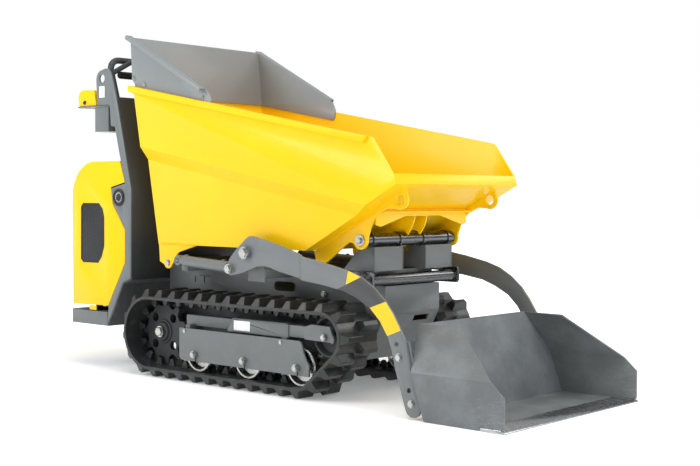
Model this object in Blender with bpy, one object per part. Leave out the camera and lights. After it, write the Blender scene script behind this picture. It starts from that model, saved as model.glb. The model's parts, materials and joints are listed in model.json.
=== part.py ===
"""Tracked power barrow (mini dumper) with a forward-tipping skip and a self-loading shovel.

Metres, +Z up, +X forward (towards the shovel), +Y left.  The origin is on the ground,
under the middle of the machine.  Every separate piece is its own object.
"""
import math

import bmesh
import bpy
from mathutils import Matrix, Vector

# ---------------------------------------------------------------- driving dimensions
GAP = 0.0003                # clearance left between pieces that touch

# rubber track, one side (distances across the machine are measured from its middle)
TRACK_OUTER = 0.360         # outer edge of the belt
TRACK_WIDTH = 0.190
LUG_HEIGHT = 0.026          # outer lugs
LUG_PITCH = 0.072
BAND = 0.012                # thickness of the rubber band
GUIDE_HEIGHT = 0.026        # inner guide lugs
GUIDE_THICK = 0.014
GUIDE_OFFSET = 0.021        # guide row centre from the belt's middle
WRAP_REAR = 0.137           # outside radius of the band on the sprocket
WRAP_IDLER = 0.085          # outside radius of the band on the idler
SPROCKET_X = -0.558
IDLER_X = 0.325
ROLLER_X = (-0.300, -0.045, 0.210)
ROLLER_R = 0.0665
ROLLER_HALF = 0.066          # half the width over its rims
IDLER_HALF = 0.052
SPROCKET_TEETH = 11
SPROCKET_THICK = 0.020
WHEEL_GAP = 0.0015          # running gap between wheels and the band

# chassis tub between the tracks
TUB_HALF = 0.148
TUB_REAR = -0.6735
TUB_FRONT = 0.425
TUB_BELLY = 0.125
TUB_TOP = 0.430
TUB_WALL = 0.006

# skip hinge, on top of the chassis front
HINGE_X = 0.4025
HINGE_Z = 0.534
HINGE_TUBE_R = 0.0225
HINGE_TUBE_HALF = 0.236
HINGE_PIN_R = 0.010
EAR_INNER = 0.243
EAR_THICK = 0.008
POST_INNER = 0.063
POST_OUTER = 0.210

# skip
SKIP_HALF = 0.336           # upper side wall, outside
SKIP_STEP = 0.030           # how far the lower side wall is set in
SKIP_WALL = 0.004
SKIP_RIM_REAR = (-0.668, 1.088)
SKIP_RIM_FRONT = (0.528, 0.866)
SKIP_LIP_TOP = (0.612, 0.752)
SKIP_LIP_LOW = (0.6215, 0.719)
SKIP_FLOOR_Z = 0.495
SKIP_FLOOR_FRONT = 0.205
SKIP_FLOOR_REAR = -0.553
CREASE_DROP = 0.221         # crease below the rim
CREASE_BAND = 0.045         # height of the sloped band under the crease
RIM_OUT = 0.0105
RIM_TALL = 0.022

# skip extension
EXT_TALL = 0.196            # height of its back plate
EXT_LONG = 0.420            # length of its side plates along the rim
EXT_WALL = 0.003
EXT_FLANGE = 0.026

# loader arms and shovel
ARM_ROOT_IN = 0.352
ARM_FRONT_IN = 0.375
ARM_THICK = 0.010
ARM_PIVOT = (-0.019, 0.482)
ARM_LUG = (-0.099, 0.424)
PIVOT_PIN_R = 0.014
RUN_GAP = 0.0008            # radial clearance of a pin in its hole
SHOVEL_HALF = 0.390
SHOVEL_TOP_HALF = 0.290
SHOVEL_REAR = 0.779
SHOVEL_FRONT = 1.0735
SHOVEL_BEND = 0.145
SHOVEL_TALL = 0.2825
SHOVEL_WALL = 0.006
EDGE_DEEP = 0.084
EDGE_THICK = 0.010
EDGE_HALF = 0.393

# rear frame, hood and controls
REAR_HALF = 0.330
PLATE = 0.008
SHEET = 0.005
BUMPER_REAR = -1.0735
BUMPER_LOW = 0.166
BUMPER_TALL = 0.054
HOOD_REAR = -1.058
HOOD_TOP = 0.808
HOOD_WALL = 0.004
HOOD_HALF = 0.328
HOOD_GAP = 0.004
HOOD_PIVOT = (-1.040, 0.240)
HANDLE_TUBE_R = 0.0125
HANDLE_TOP = 1.204

# hydraulic cylinders
LIFT_ANCHOR = (-0.400, 0.440)
LIFT_Y = 0.3315
LIFT_BARREL_R = 0.0200
LIFT_ROD_R = 0.0095
LIFT_BARREL_LONG = 0.262
TIP_ANCHOR = (0.300, 0.165)
TIP_LUG = (0.210, 0.468)
TIP_BARREL_R = 0.025
TIP_ROD_R = 0.014
TIP_BARREL_LONG = 0.272
TIP_LUG_IN = 0.030
TIP_LUG_THICK = 0.006

# worked out from the values above
BELT_MID = TRACK_OUTER - TRACK_WIDTH / 2
SPROCKET_Z = LUG_HEIGHT + WRAP_REAR
IDLER_Z = SPROCKET_Z + WRAP_REAR - WRAP_IDLER
ROLLER_Z = LUG_HEIGHT + BAND + ROLLER_R + GAP
WRAP_FRONT = ROLLER_Z - LUG_HEIGHT
RIM_SLOPE = ((SKIP_RIM_FRONT[1] - SKIP_RIM_REAR[1])
             / (SKIP_RIM_FRONT[0] - SKIP_RIM_REAR[0]))
SKIP_LOW_HALF = SKIP_HALF - SKIP_STEP
SIDES = (("left", 1), ("right", -1))


# ---------------------------------------------------------------- modelling helpers
for old in list(bpy.data.objects):
    bpy.data.objects.remove(old, do_unlink=True)


def material(name, colour, roughness, metallic=0.0):
    mat = bpy.data.materials.get(name) or bpy.data.materials.new(name)
    mat.use_nodes = True
    shader = mat.node_tree.nodes["Principled BSDF"]
    shader.inputs["Base Color"].default_value = (*colour, 1.0)
    shader.inputs["Roughness"].default_value = roughness
    shader.inputs["Metallic"].default_value = metallic
    return mat


YELLOW = material("yellow_paint", (1.0, 0.76, 0.0), 0.4)
GREY = material("grey_paint", (0.21, 0.22, 0.22), 0.5)
DARK = material("dark_paint", (0.05, 0.055, 0.06), 0.5)
STEEL = material("bright_steel", (0.62, 0.62, 0.62), 0.3, 1.0)
ZINC = material("zinc_plate", (0.70, 0.70, 0.68), 0.35, 1.0)
RUBBER = material("track_rubber", (0.02, 0.02, 0.02), 0.8)
IRON = material("cast_iron", (0.06, 0.06, 0.065), 0.6, 0.5)
PLASTIC = material("black_plastic", (0.015, 0.015, 0.015), 0.5)


def scratch_object(bm):
    """A temporary object that holds the mesh of bm."""
    bmesh.ops.recalc_face_normals(bm, faces=bm.faces)
    if bm.calc_volume(signed=True) < 0:
        bmesh.ops.reverse_faces(bm, faces=bm.faces)
    mesh = bpy.data.meshes.new("scratch")
    bm.to_mesh(mesh)
    bm.free()
    ob = bpy.data.objects.new("scratch", mesh)
    bpy.context.scene.collection.objects.link(ob)
    return ob


def drop(ob):
    bpy.data.objects.remove(ob, do_unlink=True)


def combine(ob, other, operation="UNION"):
    """Boolean of two scratch objects; the second one is used up."""
    mod = ob.modifiers.new("combine", "BOOLEAN")
    mod.operation = operation
    mod.object = other
    graph = bpy.context.evaluated_depsgraph_get()
    result = bpy.data.meshes.new_from_object(ob.evaluated_get(graph))
    ob.modifiers.clear()
    ob.data = result
    drop(other)
    return ob


def cut(ob, other):
    return combine(ob, other, "DIFFERENCE")


def finish(name, ob, mat, origin=(0, 0, 0), smooth=False):
    """Name a scratch object, give it its material and put its origin on its own axis."""
    origin = Vector(origin)
    ob.data.transform(Matrix.Translation(-origin))
    ob.location = origin
    ob.name = name
    ob.data.name = name
    ob.data.materials.clear()
    ob.data.materials.append(mat)
    if smooth:
        ob.data.shade_smooth()
        ob.data.set_sharp_from_angle(angle=math.radians(35))
    return ob


def place(axis, u, v, w):
    """A point from its two drawing coordinates and its height along the axis."""
    if axis == "X":
        return (w, u, v)
    if axis == "Y":
        return (u, w, v)
    return (u, v, w)


def flat_faces(bm, axis, height, loops):
    """Fill an outline with its holes in a plane across the axis."""
    edges = []
    for loop in loops:
        verts = [bm.verts.new(place(axis, u, v, height)) for u, v in loop]
        edges += [bm.edges.new((verts[i - 1], verts[i])) for i in range(len(verts))]
    return bmesh.ops.triangle_fill(bm, use_beauty=True, use_dissolve=False, edges=edges)


def prism(axis, low, high, outline, *holes):
    """A plate or block: an outline with holes, extruded along an axis."""
    low, high = min(low, high), max(low, high)
    bm = bmesh.new()
    flat_faces(bm, axis, low, (outline, *holes))
    top = bmesh.ops.extrude_face_region(bm, geom=bm.faces[:])["geom"]
    shift = Vector(place(axis, 0, 0, high - low))
    bmesh.ops.translate(bm, vec=shift, verts=[g for g in top if isinstance(g, bmesh.types.BMVert)])
    return scratch_object(bm)


def block(x0, x1, y0, y1, z0, z1):
    return prism("Z", z0, z1, [(x0, y0), (x1, y0), (x1, y1), (x0, y1)])


def ring(centre, radius, count=24, start=0.0):
    return [(centre[0] + radius * math.cos(start + 2 * math.pi * i / count),
             centre[1] + radius * math.sin(start + 2 * math.pi * i / count)) for i in range(count)]


def arc(centre, radius, first, last, steps):
    """Points on an arc, angles in degrees."""
    turn = [math.radians(first + (last - first) * i / steps) for i in range(steps + 1)]
    return [(centre[0] + radius * math.cos(a), centre[1] + radius * math.sin(a)) for a in turn]


def slot(centre, long, tall, steps=5):
    """A straight slot with round ends."""
    reach = (long - tall) / 2
    return (arc((centre[0] + reach, centre[1]), tall / 2, -90, 90, steps)
            + arc((centre[0] - reach, centre[1]), tall / 2, 90, 270, steps))


def turned(profile, centre, direction, segments=24):
    """A solid turned from (radius, height) points, its axis through centre along direction."""
    bm = bmesh.new()
    rows = []
    for radius, height in profile:
        if radius < 1e-6:
            rows.append([bm.verts.new((0, 0, height))] * segments)
            continue
        rows.append([bm.verts.new((radius * math.cos(2 * math.pi * i / segments),
                                   radius * math.sin(2 * math.pi * i / segments), height))
                     for i in range(segments)])
    count = len(rows)
    closed = profile[0][0] > 1e-6
    for r in range(count if closed else count - 1):
        lower, upper = rows[r], rows[(r + 1) % count]
        for i in range(segments):
            j = (i + 1) % segments
            corners = list(dict.fromkeys((lower[i], lower[j], upper[j], upper[i])))
            bm.faces.new(corners)
    turn = Vector((0, 0, 1)).rotation_difference(Vector(direction).normalized()).to_matrix().to_4x4()
    bmesh.ops.transform(bm, matrix=Matrix.Translation(centre) @ turn, verts=bm.verts)
    return scratch_object(bm)


def rod(start, end, radius, segments=16):
    """A plain round bar from one point to another."""
    start, end = Vector(start), Vector(end)
    return turned([(0, 0), (radius, 0), (radius, (end - start).length), (0, (end - start).length)],
                  start, end - start, segments)


def profile_bar(start, end, profile):
    """A straight bar in a plane across the machine; profile points are (across, up)."""
    start, end = Vector(start), Vector(end)
    along = (end - start).normalized()
    up = Vector((-along.y, along.x))
    bm = bmesh.new()
    rows = []
    for point in (start, end):
        corners = [point + up * v for u, v in profile]
        rows.append([bm.verts.new((c.x, u, c.y)) for c, (u, v) in zip(corners, profile)])
        bm.faces.new(rows[-1])
    for i in range(len(profile)):
        bm.faces.new((rows[0][i - 1], rows[0][i], rows[1][i], rows[1][i - 1]))
    return scratch_object(bm)


def fillet_path(points, radius, steps=3):
    """Round the inner corners of a path of points with arcs."""
    path = [Vector(points[0])]
    for before, corner, after in zip(points, points[1:], points[2:]):
        corner = Vector(corner)
        back = (Vector(before) - corner).normalized()
        ahead = (Vector(after) - corner).normalized()
        half = back.angle(ahead) / 2
        reach = radius / math.tan(half)
        middle = corner + (back + ahead).normalized() * radius / math.sin(half)
        first, last = corner + back * reach - middle, corner + ahead * reach - middle
        for i in range(steps + 1):
            path.append(middle + first.normalized().slerp(last.normalized(), i / steps) * radius)
    path.append(Vector(points[-1]))
    return path


def bent_tube(points, radius, bend):
    """A round tube along a path with rounded corners."""
    curve = bpy.data.curves.new("tube", "CURVE")
    curve.dimensions = "3D"
    curve.bevel_depth = radius
    curve.bevel_resolution = 2
    curve.use_fill_caps = True
    path = fillet_path(points, bend)
    spline = curve.splines.new("POLY")
    spline.points.add(len(path) - 1)
    for point, co in zip(spline.points, path):
        point.co = (*co, 1)
    guide = bpy.data.objects.new("tube", curve)
    bpy.context.scene.collection.objects.link(guide)
    graph = bpy.context.evaluated_depsgraph_get()
    mesh = bpy.data.meshes.new_from_object(guide.evaluated_get(graph))
    drop(guide)
    bm = bmesh.new()
    bm.from_mesh(mesh)
    bmesh.ops.remove_doubles(bm, verts=bm.verts, dist=1e-6)
    bmesh.ops.triangulate(bm, faces=bm.faces)
    return scratch_object(bm)


def shell(vertices, faces, wall):
    """A folded sheet: the outer surface is given, the wall grows inwards."""
    bm = bmesh.new()
    corners = [bm.verts.new(v) for v in vertices]
    for face in faces:
        bm.faces.new([corners[i] for i in face])
    ob = scratch_object(bm)
    lowest = min(ob.data.polygons, key=lambda p: p.center.z)
    if lowest.normal.z > 0:
        ob.data.flip_normals()
    mod = ob.modifiers.new("wall", "SOLIDIFY")
    mod.thickness = wall
    mod.offset = -1
    mod.use_even_offset = True
    graph = bpy.context.evaluated_depsgraph_get()
    walls = bmesh.new()
    walls.from_mesh(bpy.data.meshes.new_from_object(ob.evaluated_get(graph)))
    drop(ob)
    return scratch_object(walls)


# ---------------------------------------------------------------- tracks
WHEELS = (((SPROCKET_X, SPROCKET_Z), WRAP_REAR),
          ((ROLLER_X[-1], ROLLER_Z), WRAP_FRONT),
          ((IDLER_X, IDLER_Z), WRAP_IDLER))


def belt_runs():
    """Straight runs of the band's outside, anticlockwise: (start, end, wheel at the end)."""
    runs = []
    for i, (start, r0) in enumerate(WHEELS):
        end, r1 = WHEELS[(i + 1) % len(WHEELS)]
        along = Vector(end) - Vector(start)
        side = Vector((along.y, -along.x)).normalized()
        lean = (r0 - r1) / along.length
        normal = along.normalized() * lean + side * math.sqrt(1 - lean * lean)
        runs.append((Vector(start) + normal * r0, Vector(end) + normal * r1, normal))
    return runs


def belt_pieces():
    """Runs and wraps in order, each with its length: ('run', a, b, n) or ('wrap', c, r, a0, a1)."""
    runs = belt_runs()
    pieces = []
    for i, (start, end, normal) in enumerate(runs):
        pieces.append(((end - start).length, "run", start, end, normal))
        centre, radius = WHEELS[(i + 1) % len(WHEELS)]
        after = runs[(i + 1) % len(runs)][2]
        first = math.atan2(normal.y, normal.x)
        sweep = (math.atan2(after.y, after.x) - first) % (2 * math.pi)
        pieces.append((radius * sweep, "wrap", Vector(centre), radius, (first, sweep)))
    return pieces


BELT_PIECES = belt_pieces()
BELT_LENGTH = sum(piece[0] for piece in BELT_PIECES)
LINKS = round(BELT_LENGTH / LUG_PITCH)
LINK = BELT_LENGTH / LINKS


def belt_point(distance, out=0.0):
    """A point on the belt at a distance along the band's outside, moved outwards."""
    distance %= BELT_LENGTH
    for length, kind, first, second, third in BELT_PIECES:
        if distance > length:
            distance -= length
            continue
        if kind == "run":
            point = first.lerp(second, distance / length) + third * out
        else:
            angle = third[0] + distance / second
            point = first + Vector((math.cos(angle), math.sin(angle))) * (second + out)
        return (point.x, point.y)
    return belt_point(0, out)


def toothed_loop(base, tip, foot, crown):
    """One tooth for each link, between the offsets base and tip."""
    points = []
    for i in range(LINKS):
        middle = (i + 0.5) * LINK
        crowns = (-crown / 2, crown / 2) if crown else (0,)
        points += [belt_point(middle - foot / 2, base),
                   *[belt_point(middle + c, tip) for c in crowns],
                   belt_point(middle + foot / 2, base)]
    return points


def plain_loop(out, turn=8):
    """The band's line moved outwards: straight runs, and an arc point every few degrees."""
    points = []
    for length, kind, first, second, third in BELT_PIECES:
        if kind == "run":
            continue
        steps = max(2, round(math.degrees(third[1]) / turn))
        for i in range(steps + 1):
            angle = third[0] + third[1] * i / steps
            points.append(tuple(first + Vector((math.cos(angle), math.sin(angle))) * (second + out)))
    return points


def track_belt(side, s):
    belt = prism("Y", s * (TRACK_OUTER - TRACK_WIDTH), s * TRACK_OUTER,
                 toothed_loop(0, LUG_HEIGHT, 0.036, 0.016), plain_loop(-BAND))
    guides = toothed_loop(-BAND * 0.7, -BAND - GUIDE_HEIGHT, 0.040, 0)
    for row in (-GUIDE_OFFSET, GUIDE_OFFSET):
        middle = BELT_MID + row
        teeth = prism("Y", s * (middle - GUIDE_THICK / 2), s * (middle + GUIDE_THICK / 2),
                      plain_loop(-BAND / 3), guides)
        belt = combine(belt, teeth)
    finish(f"track_belt_{side}", belt, RUBBER)


def sprocket(side, s):
    tip = WRAP_REAR - BAND - WHEEL_GAP
    root = tip - GUIDE_HEIGHT
    outline = []
    step = 2 * math.pi / SPROCKET_TEETH
    for i in range(SPROCKET_TEETH):
        for radius, share in ((root, -0.34), (tip, -0.12), (tip, 0.12), (root, 0.34)):
            angle = (i + 0.5 + share) * step
            outline.append((SPROCKET_X + radius * math.cos(angle),
                            SPROCKET_Z + radius * math.sin(angle)))
    holes = [ring((SPROCKET_X + 0.072 * math.cos(a), SPROCKET_Z + 0.072 * math.sin(a)), 0.017, 10)
             for a in (math.pi / 4 + i * math.pi / 2 for i in range(4))]
    half = SPROCKET_THICK / 2
    wheel = prism("Y", s * (BELT_MID - half), s * (BELT_MID + half), outline, *holes)
    hub = turned([(0, -0.016), (0.046, -0.016), (0.046, 0.014), (0.036, 0.024), (0.017, 0.024),
                  (0.017, 0.040), (0, 0.040)],
                 (SPROCKET_X, s * BELT_MID, SPROCKET_Z), (0, s, 0), 16)
    finish(f"sprocket_{side}", combine(wheel, hub), IRON,
           (SPROCKET_X, s * BELT_MID, SPROCKET_Z), True)


def wheel_profile(radius, outer):
    """Two rims that run either side of the guide lugs, joined by a thinner hub."""
    inner = GUIDE_OFFSET + GUIDE_THICK / 2 + 0.005
    waist = radius - GUIDE_HEIGHT - 0.006
    half = [(0, outer - 0.018), (radius - 0.014, outer - 0.006), (radius - 0.005, outer),
            (radius, inner), (waist, inner)]
    return half + [(r, -h) for r, h in reversed(half)]


def rollers(side, s):
    for place_name, x in zip(("rear", "middle", "front"), ROLLER_X):
        centre = (x, s * BELT_MID, ROLLER_Z)
        roller = turned(wheel_profile(ROLLER_R, ROLLER_HALF), centre, (0, s, 0), 16)
        finish(f"roller_{side}_{place_name}", roller, ZINC, centre, True)


def idler(side, s):
    centre = (IDLER_X, s * BELT_MID, IDLER_Z)
    wheel = turned(wheel_profile(WRAP_IDLER - BAND - WHEEL_GAP, IDLER_HALF), centre, (0, s, 0), 16)
    finish(f"idler_{side}", wheel, IRON, centre, True)


FORK_Y = (0.322, 0.332)
BEAM_LOW = 0.199
BEAM_TALL = 0.046
GUARD_TABS = (-0.360, 0.130)
TAB_LOW = 0.176


def track_frame(side, s):
    """Box beam from the tub to the idler fork, with the roller axle bar and a gusset."""
    beam = block(-0.125, 0.150, s * 0.262, s * 0.330, BEAM_LOW, BEAM_LOW + BEAM_TALL)
    beam = combine(beam, block(-0.400, -0.120, s * 0.250, s * 0.300,
                               BEAM_LOW + 0.002, BEAM_LOW + BEAM_TALL - 0.006))
    beam = combine(beam, block(-0.100, 0.060, s * (TUB_HALF + GAP), s * 0.270,
                               BEAM_LOW + 0.006, BEAM_LOW + BEAM_TALL - 0.004))
    beam = combine(beam, prism("Y", s * 0.300, s * 0.3325,
                               [(-0.150, BEAM_LOW), (-0.118, BEAM_LOW),
                                (-0.118, BEAM_LOW + BEAM_TALL - 0.002)]))
    for x in GUARD_TABS:
        beam = combine(beam, block(x - 0.012, x + 0.012, s * 0.270, s * 0.330,
                                   TAB_LOW, BEAM_LOW + 0.008))
    finish(f"track_frame_{side}", beam, GREY)


def idler_fork(side, s):
    """Telescopic slide with two cheeks that hold the idler."""
    low, high = BEAM_LOW + 0.004, BEAM_LOW + BEAM_TALL - 0.002
    fork = block(0.150 + GAP, 0.238, s * 0.268, s * 0.326, low, high)
    rim = WRAP_IDLER - BAND
    cheek = [(0.232, low - 0.002), (0.350, low - 0.004)]
    cheek += arc((IDLER_X + 0.022, IDLER_Z - 0.006), 0.018, -60, 60, 3)
    cheek += [(0.345, high + 0.008), (0.262, high + 0.010), (0.232, high)]
    fork = combine(fork, prism("Y", s * FORK_Y[0], s * (FORK_Y[1] + 0.004), cheek))
    back = 2 * BELT_MID - FORK_Y[0]
    fork = combine(fork, prism("Y", s * back, s * (back - 0.008), cheek))
    bridge = IDLER_X - rim - 0.006
    fork = combine(fork, block(bridge - 0.016, bridge, s * (back - 0.004), s * (FORK_Y[0] + 0.004),
                               low, high - 0.004))
    axle = rod((IDLER_X, s * FORK_Y[0], IDLER_Z), (IDLER_X, s * (FORK_Y[1] + 0.014), IDLER_Z),
               0.012, 6)
    finish(f"idler_fork_{side}", combine(fork, axle), GREY)


def roller_guard(side, s):
    """Flat plate outside the rollers, slotted for their axle bolts."""
    outline = [(-0.390, 0.088), (-0.378, 0.078), (0.262, 0.078), (0.262, 0.118), (0.250, 0.130),
               (0.230, 0.180), (0.226, 0.195), (-0.390, 0.195)]
    guard = prism("Y", s * 0.3385, s * 0.3455, outline)
    for x in ROLLER_X:
        guard = combine(guard, rod((x, s * 0.3340, ROLLER_Z), (x, s * 0.3590, ROLLER_Z), 0.014, 6))
    for x in GUARD_TABS:
        guard = combine(guard, block(x - 0.012, x + 0.012, s * (0.330 + GAP), s * 0.342,
                                     TAB_LOW, 0.192))
    finish(f"roller_guard_{side}", guard, GREY)


def drive_motor(side, s):
    motor = turned([(0, 0), (0.060, 0), (0.060, 0.050), (0.048, 0.056), (0.048, 0.092), (0, 0.092)],
                   (SPROCKET_X, s * (TUB_HALF + GAP), SPROCKET_Z), (0, s, 0), 20)
    finish(f"drive_motor_{side}", motor, DARK, smooth=True)


# ---------------------------------------------------------------- chassis
def lift_anchor(s):
    """Outrigger on the tub with the cheek and pin of a lift cylinder's rear eye."""
    x, z = LIFT_ANCHOR
    arm = block(x - 0.016, x + 0.016, s * (TUB_HALF - 0.003), s * 0.308, 0.400, 0.424)
    cheek = [(x - 0.016, 0.402), (x + 0.016, 0.402)] + arc(LIFT_ANCHOR, 0.018, 0, 180, 6)
    arm = combine(arm, prism("Y", s * 0.3050, s * 0.3100, cheek))
    return combine(arm, rod((x, s * 0.3080, z), (x, s * (LIFT_Y + 0.0165), z), 0.0070, 12))


def tip_anchor():
    """Clevis on the floor of the tub for the tipping cylinder."""
    x, z = TIP_ANCHOR
    floor = TUB_BELLY + TUB_WALL - 0.002
    clevis = rod((x, -0.022, z), (x, 0.022, z), 0.010, 12)
    for s in (1, -1):
        cheek = [(x - 0.030, floor), (x + 0.030, floor)] + arc(TIP_ANCHOR, 0.0165, 0, 180, 6)
        clevis = combine(clevis, prism("Y", s * 0.0165, s * 0.0240, cheek))
    return clevis


def chassis_tub():
    """Open-topped box of sheet steel between the tracks, with a notch for the cross tube."""
    w = TUB_WALL
    side = [(TUB_REAR, TUB_BELLY), (0.345, TUB_BELLY), (TUB_FRONT, 0.286), (TUB_FRONT, 0.378),
            (0.392, 0.378), (0.392, TUB_TOP), (TUB_REAR, TUB_TOP)]
    room = [(TUB_REAR + w, TUB_BELLY + w), (0.341, TUB_BELLY + w), (TUB_FRONT - w, 0.288),
            (TUB_FRONT - w, 0.372), (0.386, 0.372), (0.386, 0.480), (TUB_REAR + w, 0.480)]
    tub = prism("Y", -TUB_HALF, TUB_HALF, side)
    tub = cut(tub, prism("Y", -TUB_HALF + w, TUB_HALF - w, room))
    reach = TUB_HALF + 0.01
    tub = cut(tub, prism("Y", -reach, reach, slot((-0.045, 0.353), 0.108, 0.034)))
    for x in (-0.523, -0.472):
        tub = cut(tub, block(x - 0.003, x + 0.003, -reach, reach, 0.344, 0.368))
    tub = cut(tub, block(0.36, 0.45, 0.020, 0.100, 0.250, 0.270))
    for s in (1, -1):
        bolt = rod((0.155, s * (TUB_HALF - 0.003), 0.337), (0.155, s * (TUB_HALF + 0.010), 0.337),
                   0.010, 6)
        tub = combine(tub, bolt)
        tub = combine(tub, lift_anchor(s))
    tub = combine(tub, tip_anchor())
    finish("chassis_tub", tub, GREY)


def hinge_posts():
    """Two welded boxes that carry the hinge tube."""
    low = TUB_TOP + GAP
    high = HINGE_Z - HINGE_TUBE_R - GAP
    outline = [(0.290, low), (0.430, low), (0.430, high), (0.366, high)]
    for side, s in SIDES:
        post = prism("Y", s * POST_INNER, s * POST_OUTER, outline)
        finish(f"hinge_post_{side}", post, GREY)


def hinge_tube():
    """Tube across the posts that the hinge pin runs through."""
    bore = HINGE_PIN_R + RUN_GAP
    profile = [(bore, -HINGE_TUBE_HALF), (HINGE_TUBE_R, -HINGE_TUBE_HALF),
               (HINGE_TUBE_R, HINGE_TUBE_HALF), (bore, HINGE_TUBE_HALF)]
    tube = turned(profile, (HINGE_X, 0, HINGE_Z), (0, 1, 0), 24)
    finish("hinge_tube", tube, STEEL, smooth=True)


def hinge_pin():
    half = EAR_INNER + EAR_THICK + 0.014
    pin = turned([(0, -half), (HINGE_PIN_R, -half), (HINGE_PIN_R, half), (0, half)],
                 (HINGE_X, 0, HINGE_Z), (0, 1, 0), 24)
    finish("hinge_pin", pin, ZINC, smooth=True)


def cross_tube():
    """Front cross tube with an end bracket under each post."""
    centre = (0.4185, 0.400)
    half = POST_OUTER + 0.022
    tube = rod((centre[0], -half, centre[1]), (centre[0], half, centre[1]), 0.0197, 20)
    top = TUB_TOP
    for s in (1, -1):
        bracket = prism("Y", s * (half - 0.004), s * (half + 0.006),
                        [(0.362, 0.374), (0.440, 0.374), (0.446, 0.382), (0.446, top - 0.006),
                         (0.440, top), (0.362, top)])
        tube = combine(tube, bracket)
        tube = combine(tube, block(0.366, 0.400, s * (TUB_HALF + 0.004), s * half,
                                   top - 0.008, top))
    finish("cross_tube", tube, STEEL, smooth=True)


# ---------------------------------------------------------------- skip
def rim_z(x):
    return SKIP_RIM_REAR[1] + RIM_SLOPE * (x - SKIP_RIM_REAR[0])


def front_z(x):
    """Height of the underside of the sloped front plate."""
    slope = (SKIP_LIP_LOW[1] - SKIP_FLOOR_Z) / (SKIP_LIP_LOW[0] - SKIP_FLOOR_FRONT)
    return SKIP_FLOOR_Z + slope * (x - SKIP_FLOOR_FRONT)


def front_cross(drop):
    """Where a line parallel to the rim, drop below it, meets the sloped front plate."""
    slope = (SKIP_LIP_LOW[1] - SKIP_FLOOR_Z) / (SKIP_LIP_LOW[0] - SKIP_FLOOR_FRONT)
    x = ((rim_z(0) - drop - SKIP_FLOOR_Z + slope * SKIP_FLOOR_FRONT) / (slope - RIM_SLOPE))
    return (x, front_z(x))


def rear_cross(drop):
    """Where that line meets the leaning rear plate."""
    lean = (SKIP_RIM_REAR[0] - SKIP_FLOOR_REAR) / (SKIP_RIM_REAR[1] - SKIP_FLOOR_Z)
    x = ((SKIP_FLOOR_REAR + lean * (rim_z(0) - drop - SKIP_FLOOR_Z)) / (1 - lean * RIM_SLOPE))
    return (x, rim_z(x) - drop)


def skip_shell():
    crease_f, crease_r = front_cross(CREASE_DROP), rear_cross(CREASE_DROP)
    foot_f = front_cross(CREASE_DROP + CREASE_BAND)
    foot_r = rear_cross(CREASE_DROP + CREASE_BAND)
    section = [(SKIP_RIM_REAR, SKIP_HALF), (SKIP_RIM_FRONT, SKIP_HALF),
               (SKIP_LIP_TOP, SKIP_HALF), (SKIP_LIP_LOW, SKIP_HALF),
               (crease_f, SKIP_HALF), (crease_r, SKIP_HALF),
               (foot_f, SKIP_LOW_HALF), (foot_r, SKIP_LOW_HALF),
               ((SKIP_FLOOR_FRONT, SKIP_FLOOR_Z), SKIP_LOW_HALF),
               ((SKIP_FLOOR_REAR, SKIP_FLOOR_Z), SKIP_LOW_HALF)]
    vertices = [(x, s * y, z) for s in (-1, 1) for (x, z), y in section]
    n = len(section)
    right = [(0, 5, 4, 3, 2, 1), (5, 7, 6, 4), (7, 9, 8, 6)]
    left = [tuple(n + i for i in reversed(face)) for face in right]
    across = [(9, 9 + n, 8 + n, 8), (2, 3, 3 + n, 2 + n),
              (3, 4, 6, 8, 8 + n, 6 + n, 4 + n, 3 + n),
              (0, n, 5 + n, 7 + n, 9 + n, 9, 7, 5)]
    return shell(vertices, right + left + across, SKIP_WALL)


def ear_outline():
    """Side plate under the front of the skip: hinge ear at the bottom, lifting eye at the top."""
    inside = 0.002
    eye = (0.570, 0.668)
    line = [(SKIP_FLOOR_FRONT + 0.01, front_z(SKIP_FLOOR_FRONT + 0.01) + inside),
            (0.196, 0.490), (0.206, 0.452), (0.228, 0.442), (0.264, 0.464)]
    line += [(0.335, 0.515), (0.357, 0.527), (0.370, 0.524)]
    line += arc((HINGE_X, HINGE_Z), 0.031, 205, 375, 7)
    line += [(0.446, 0.580), (0.462, 0.604), (0.480, 0.622), (0.515, 0.640)]
    line += arc(eye, 0.032, -115, 40, 7)
    line += [(0.592, front_z(0.592) + inside)]
    return line, ring(eye, 0.017, 14), ring((HINGE_X, HINGE_Z), HINGE_PIN_R + RUN_GAP, 24)


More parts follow.
